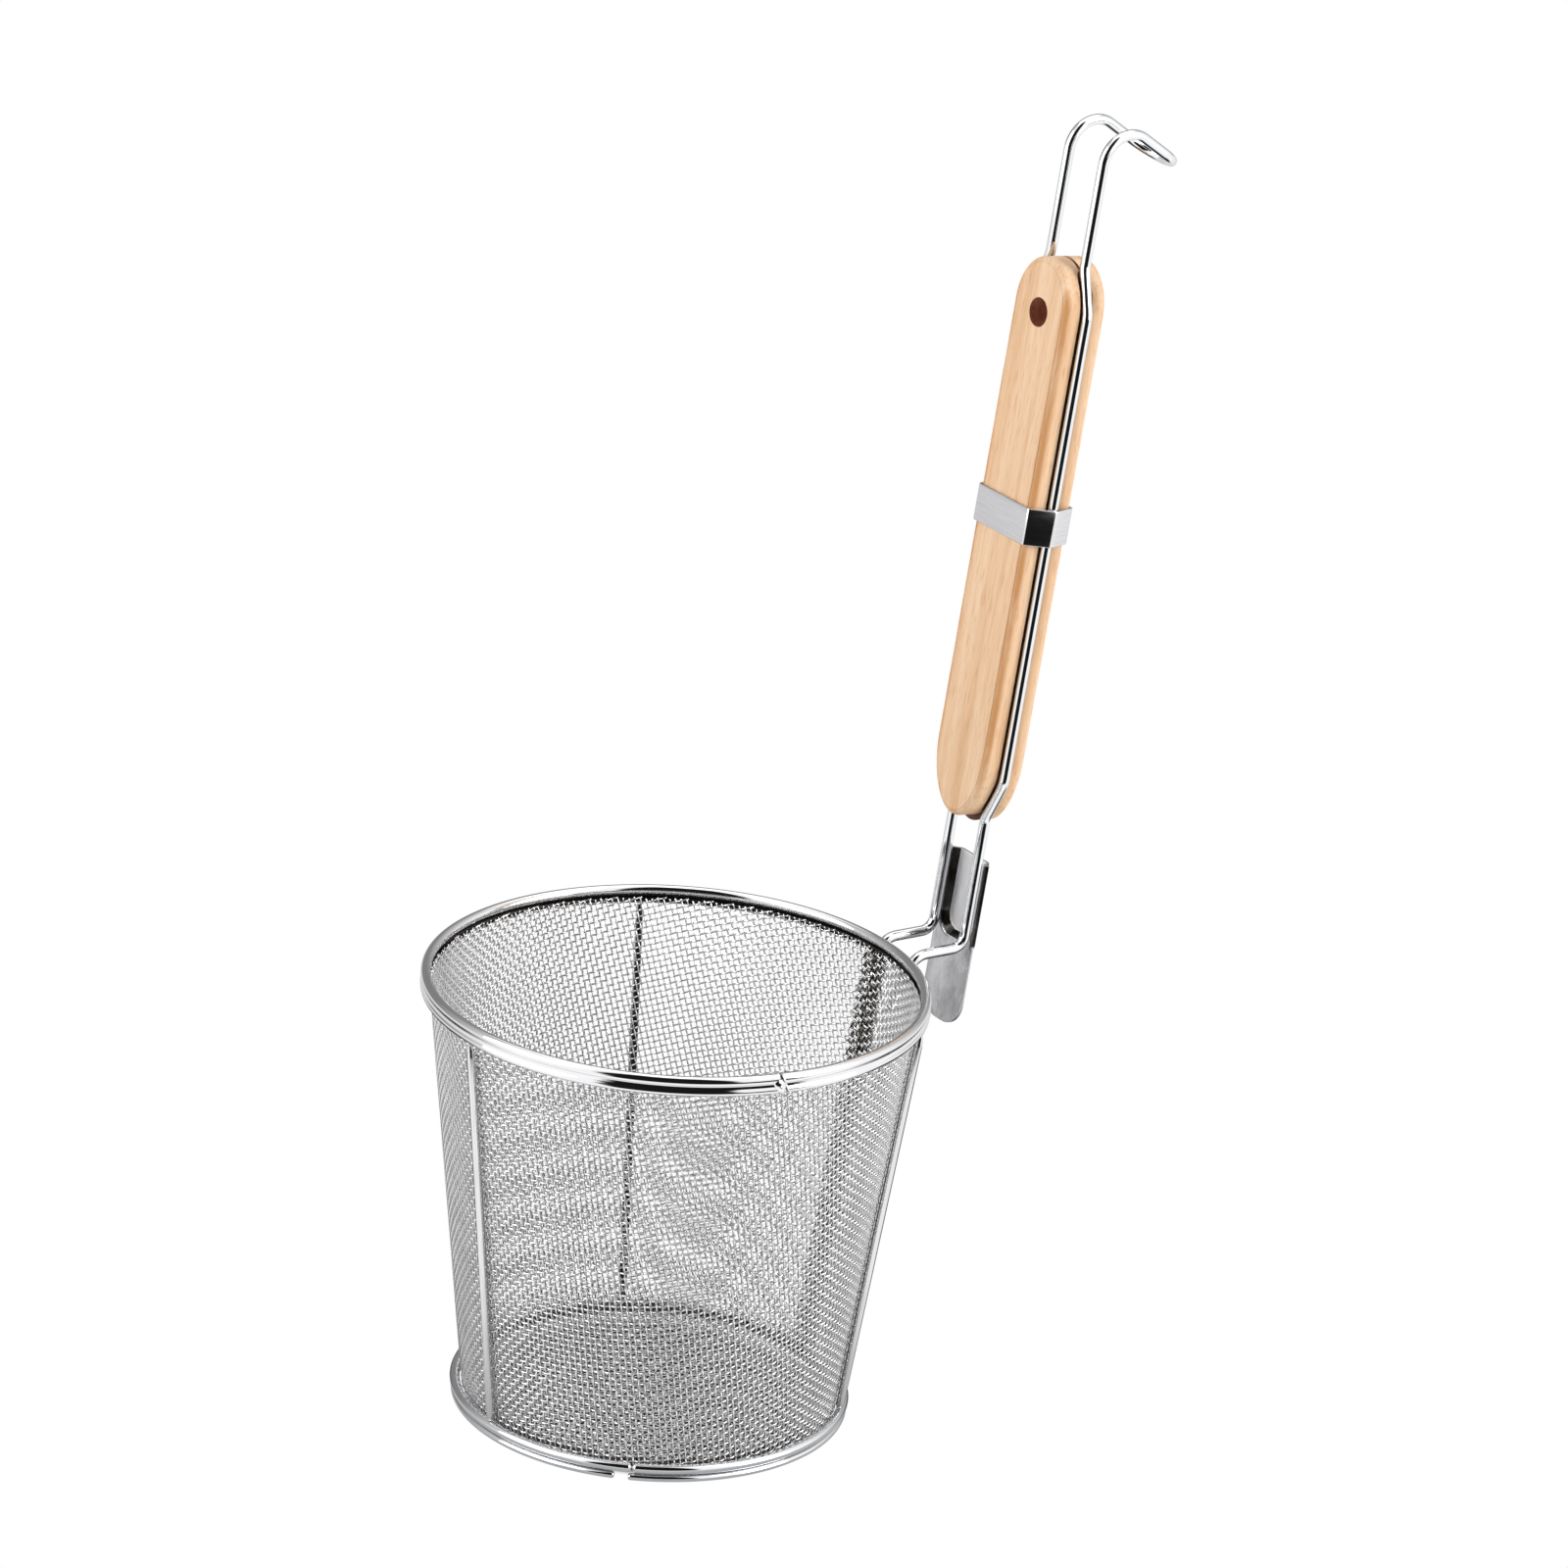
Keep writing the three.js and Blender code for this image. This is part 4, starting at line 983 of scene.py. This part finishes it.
def studio_floor():
    """A wide pale floor: white to the camera, its paper painted dark grey under the basket as shade.
    Mirrors see a table with painted shadow, grey near the basket and behind it and dark in its lee, black
    past the edge before the camera."""
    mesh = bpy.data.meshes.new("studio_floor")
    corners = [(x * FLOOR_HALF, y * FLOOR_HALF, 0) for x, y in ((-1, -1), (1, -1), (1, 1), (-1, 1))]
    mesh.from_pydata(corners, [], [(0, 1, 2, 3)])
    floor = new_object("studio_floor", mesh)
    floor.location.z = FLOOR_Z
    material, tree = new_material("white_paper_sweep")
    path = add_node(tree, "LightPath")
    place = add_node(tree, "TexCoord")
    offset = add_node(tree, "VectorMath", {0: (place, "Object"), 1: (AXIS_X * MM, 0, 0)},
                      operation="SUBTRACT")
    from_axis = add_node(tree, "VectorMath", {0: (offset, "Vector")}, operation="LENGTH")
    bare = add_node(tree, "MapRange", {
        "Value": (from_axis, "Value"), "From Min": SHADE_RADIUS, "From Max": SHADE_END}, **SMOOTH)
    seen = add_node(tree, "Math", {0: (path, "Is Camera Ray"), 1: (path, "Is Transmission Ray")},
                    operation="MAXIMUM")
    viewed = add_node(tree, "Math", {0: (seen, "Value"), 1: (path, "Is Glossy Ray")}, operation="MAXIMUM")
    share = add_node(tree, "Math", {0: (viewed, "Value"), 1: (bare, "Result")}, operation="MULTIPLY")
    heading = add_node(tree, "VectorMath", {0: (place, "Object")}, operation="NORMALIZE")
    sector = by_direction(tree, (heading, "Vector"), TABLE_AXIS, TABLE_EDGE, TABLE_CORE, **SMOOTH)
    reach = add_node(tree, "VectorMath", {0: (place, "Object")}, operation="LENGTH")
    beyond = add_node(tree, "MapRange", {
        "Value": (reach, "Value"), "From Min": TABLE_EDGE_RADIUS, "From Max": PAST_TABLE_RADIUS}, **SMOOTH)
    dark = add_node(tree, "Math", {0: (sector, "Result"), 1: (beyond, "Result")}, operation="MULTIPLY")
    # Painted shadow: mirrors see the table greyer close to the basket.
    table = add_node(tree, "MapRange", {
        "Value": (from_axis, "Value"), "From Min": TABLE_NEAR_RADIUS, "From Max": TABLE_FAR_RADIUS,
        "To Min": TABLE_NEAR, "To Max": TABLE_FAR})
    # Painted shadow: greyer again behind the basket.
    grey = by_direction(tree, (heading, "Vector"), BEHIND_AXIS, BEHIND_START, BEHIND_FULL,
                        (table, "Result"), BEHIND_TABLE)
    aside = add_node(tree, "VectorMath", {0: (offset, "Vector")}, operation="NORMALIZE")
    # Painted shadow: darkest in the basket's lee.
    lee_side = by_direction(tree, (aside, "Vector"), LEE_AXIS, LEE_START, LEE_FULL, **SMOOTH)
    close = add_node(tree, "MapRange", {
        "Value": (from_axis, "Value"), "From Min": LEE_END, "From Max": LEE_RADIUS}, **SMOOTH)
    shadow = add_node(tree, "Math", {0: (lee_side, "Result"), 1: (close, "Result")}, operation="MULTIPLY")
    shaded = add_node(tree, "MapRange", {
        "Value": (shadow, "Value"), "To Min": (grey, "Result"), "To Max": LEE_LEVEL})
    mirrored = add_node(tree, "MapRange", {
        "Value": (dark, "Value"), "To Min": (shaded, "Result"), "To Max": DARK_LEVEL})
    level = add_node(tree, "Mix", {0: (path, "Is Glossy Ray"), 2: 1.0, 3: (mirrored, "Result")})
    # Painted shade: the paper under the basket is dark grey.
    shade = add_node(tree, "Mix", {0: (bare, "Result"), 6: hex_colour("#4A4A4A"), 7: hex_colour("#F2F2F2")},
                     data_type="RGBA")
    paper = add_node(tree, "BsdfDiffuse", {"Color": (shade, 2)})
    glow = add_node(tree, "Emission", {"Color": (1, 1, 1, 1), "Strength": (level, 0)})
    both = add_node(tree, "MixShader", {0: (share, "Value"), 1: (paper, "BSDF"), 2: (glow, "Emission")})
    add_node(tree, "OutputMaterial", {"Surface": (both, "Shader")})
    mesh.materials.append(material)


def place_object(thing, right, up, back, place):
    """Sets an object's axes and place in the scene, in metres."""
    matrix = np.eye(4)
    matrix[:3] = np.stack((right, up, back, place), -1)
    thing.matrix_world = Matrix(matrix.tolist())


def studio_light(name, azimuth, elevation, distance, size, power):
    """A large soft lamp that faces the part from a direction."""
    lamp = bpy.data.lights.new(name, "AREA")
    lamp.shape, lamp.size, lamp.size_y, lamp.energy = "RECTANGLE", size[0], size[1], power
    holder = new_object(name, lamp)
    a, e = math.radians(azimuth), math.radians(elevation)
    toward = np.array([math.cos(a) * math.cos(e), math.sin(a) * math.cos(e), math.sin(e)])
    right = np.array([-math.sin(a), math.cos(a), 0])
    place_object(holder, right, np.cross(toward, right), toward, toward * distance + LAMP_AIM)
    holder.visible_camera = False


def studio_world():
    """White to the camera. Mirrors see a bright room, grey behind the part, with a dark gap behind the
    camera. Rough surfaces get an even, dimmer light with the same gap."""
    world = bpy.data.worlds.new("studio")
    bpy.context.scene.world = world
    world.use_nodes = True
    tree = world.node_tree
    tree.nodes.clear()
    path = add_node(tree, "LightPath")
    seen = add_node(tree, "Math", {0: (path, "Is Camera Ray"), 1: (path, "Is Transmission Ray")},
                    operation="MAXIMUM")
    place = add_node(tree, "TexCoord")
    level_way = add_node(tree, "VectorMath", {0: (place, "Generated"), 1: (1, 1, 0)}, operation="MULTIPLY")
    heading = add_node(tree, "VectorMath", {0: (level_way, "Vector")}, operation="NORMALIZE")
    wedge = by_direction(tree, (heading, "Vector"), DARK_AXIS, DARK_EDGE, DARK_CORE, **SMOOTH)
    parts = add_node(tree, "SeparateXYZ", {"Vector": (place, "Generated")})
    below = add_node(tree, "MapRange", {
        "Value": (parts, "Z"), "From Min": DARK_TOP_END, "From Max": DARK_TOP_FULL}, **SMOOTH)
    dark = add_node(tree, "Math", {0: (wedge, "Result"), 1: (below, "Result")}, operation="MULTIPLY")
    grey = by_direction(tree, (place, "Generated"), BEHIND_AXIS, BEHIND_START, BEHIND_FULL,
                        ROOM_LEVEL, BEHIND_LEVEL)
    fill = add_node(tree, "Mix", {0: (path, "Is Glossy Ray"), 2: WORLD_FILL, 3: (grey, "Result")})
    level = add_node(tree, "MapRange", {"Value": (dark, "Value"), "To Min": (fill, 0), "To Max": DARK_LEVEL})
    shown = add_node(tree, "Math", {0: (level, "Result"), 1: (seen, "Value")}, operation="MAXIMUM")
    back = add_node(tree, "Background", {"Color": (1, 1, 1, 1), "Strength": (shown, "Value")})
    add_node(tree, "OutputWorld", {"Surface": (back, "Background")})


studio_floor()
studio_world()
studio_light("left_softbox", 168, 25, 1.6, (1.2, 1.5), 18)
studio_light("right_softbox", -55, 25, 1.6, (1.0, 1.5), 21)
studio_light("top_softbox", 55, 72, 1.5, (1.4, 1.4), 6)


# Camera

CAMERA_MM = (-1147.47, -1633.8, 934.1)
CAMERA_AZIMUTH, CAMERA_ELEVATION, CAMERA_ROLL = (math.radians(angle) for angle in (-34.94, 20.771, 4.137))
CAMERA_LENS = 179.18
CAMERA_SENSOR = 36.0
CAMERA_RANGE = 100


def photo_camera():
    """The fitted camera: its back axis from azimuth and elevation, the other two turned by the roll."""
    data = bpy.data.cameras.new("photo_camera")
    data.lens, data.sensor_width, data.clip_end = CAMERA_LENS, CAMERA_SENSOR, CAMERA_RANGE
    camera = new_object("photo_camera", data)
    sine, cosine = math.sin(CAMERA_AZIMUTH), math.cos(CAMERA_AZIMUTH)
    level = math.cos(CAMERA_ELEVATION)
    back = np.array([sine * level, -cosine * level, math.sin(CAMERA_ELEVATION)])
    right = np.array([cosine, sine, 0])
    up = np.cross(back, right)
    rolled_right = math.cos(CAMERA_ROLL) * right + math.sin(CAMERA_ROLL) * up
    rolled_up = math.cos(CAMERA_ROLL) * up - math.sin(CAMERA_ROLL) * right
    place_object(camera, rolled_right, rolled_up, back, np.array(CAMERA_MM) * MM)
    bpy.context.scene.camera = camera


photo_camera()
bpy.context.scene.view_settings.view_transform = "Standard"
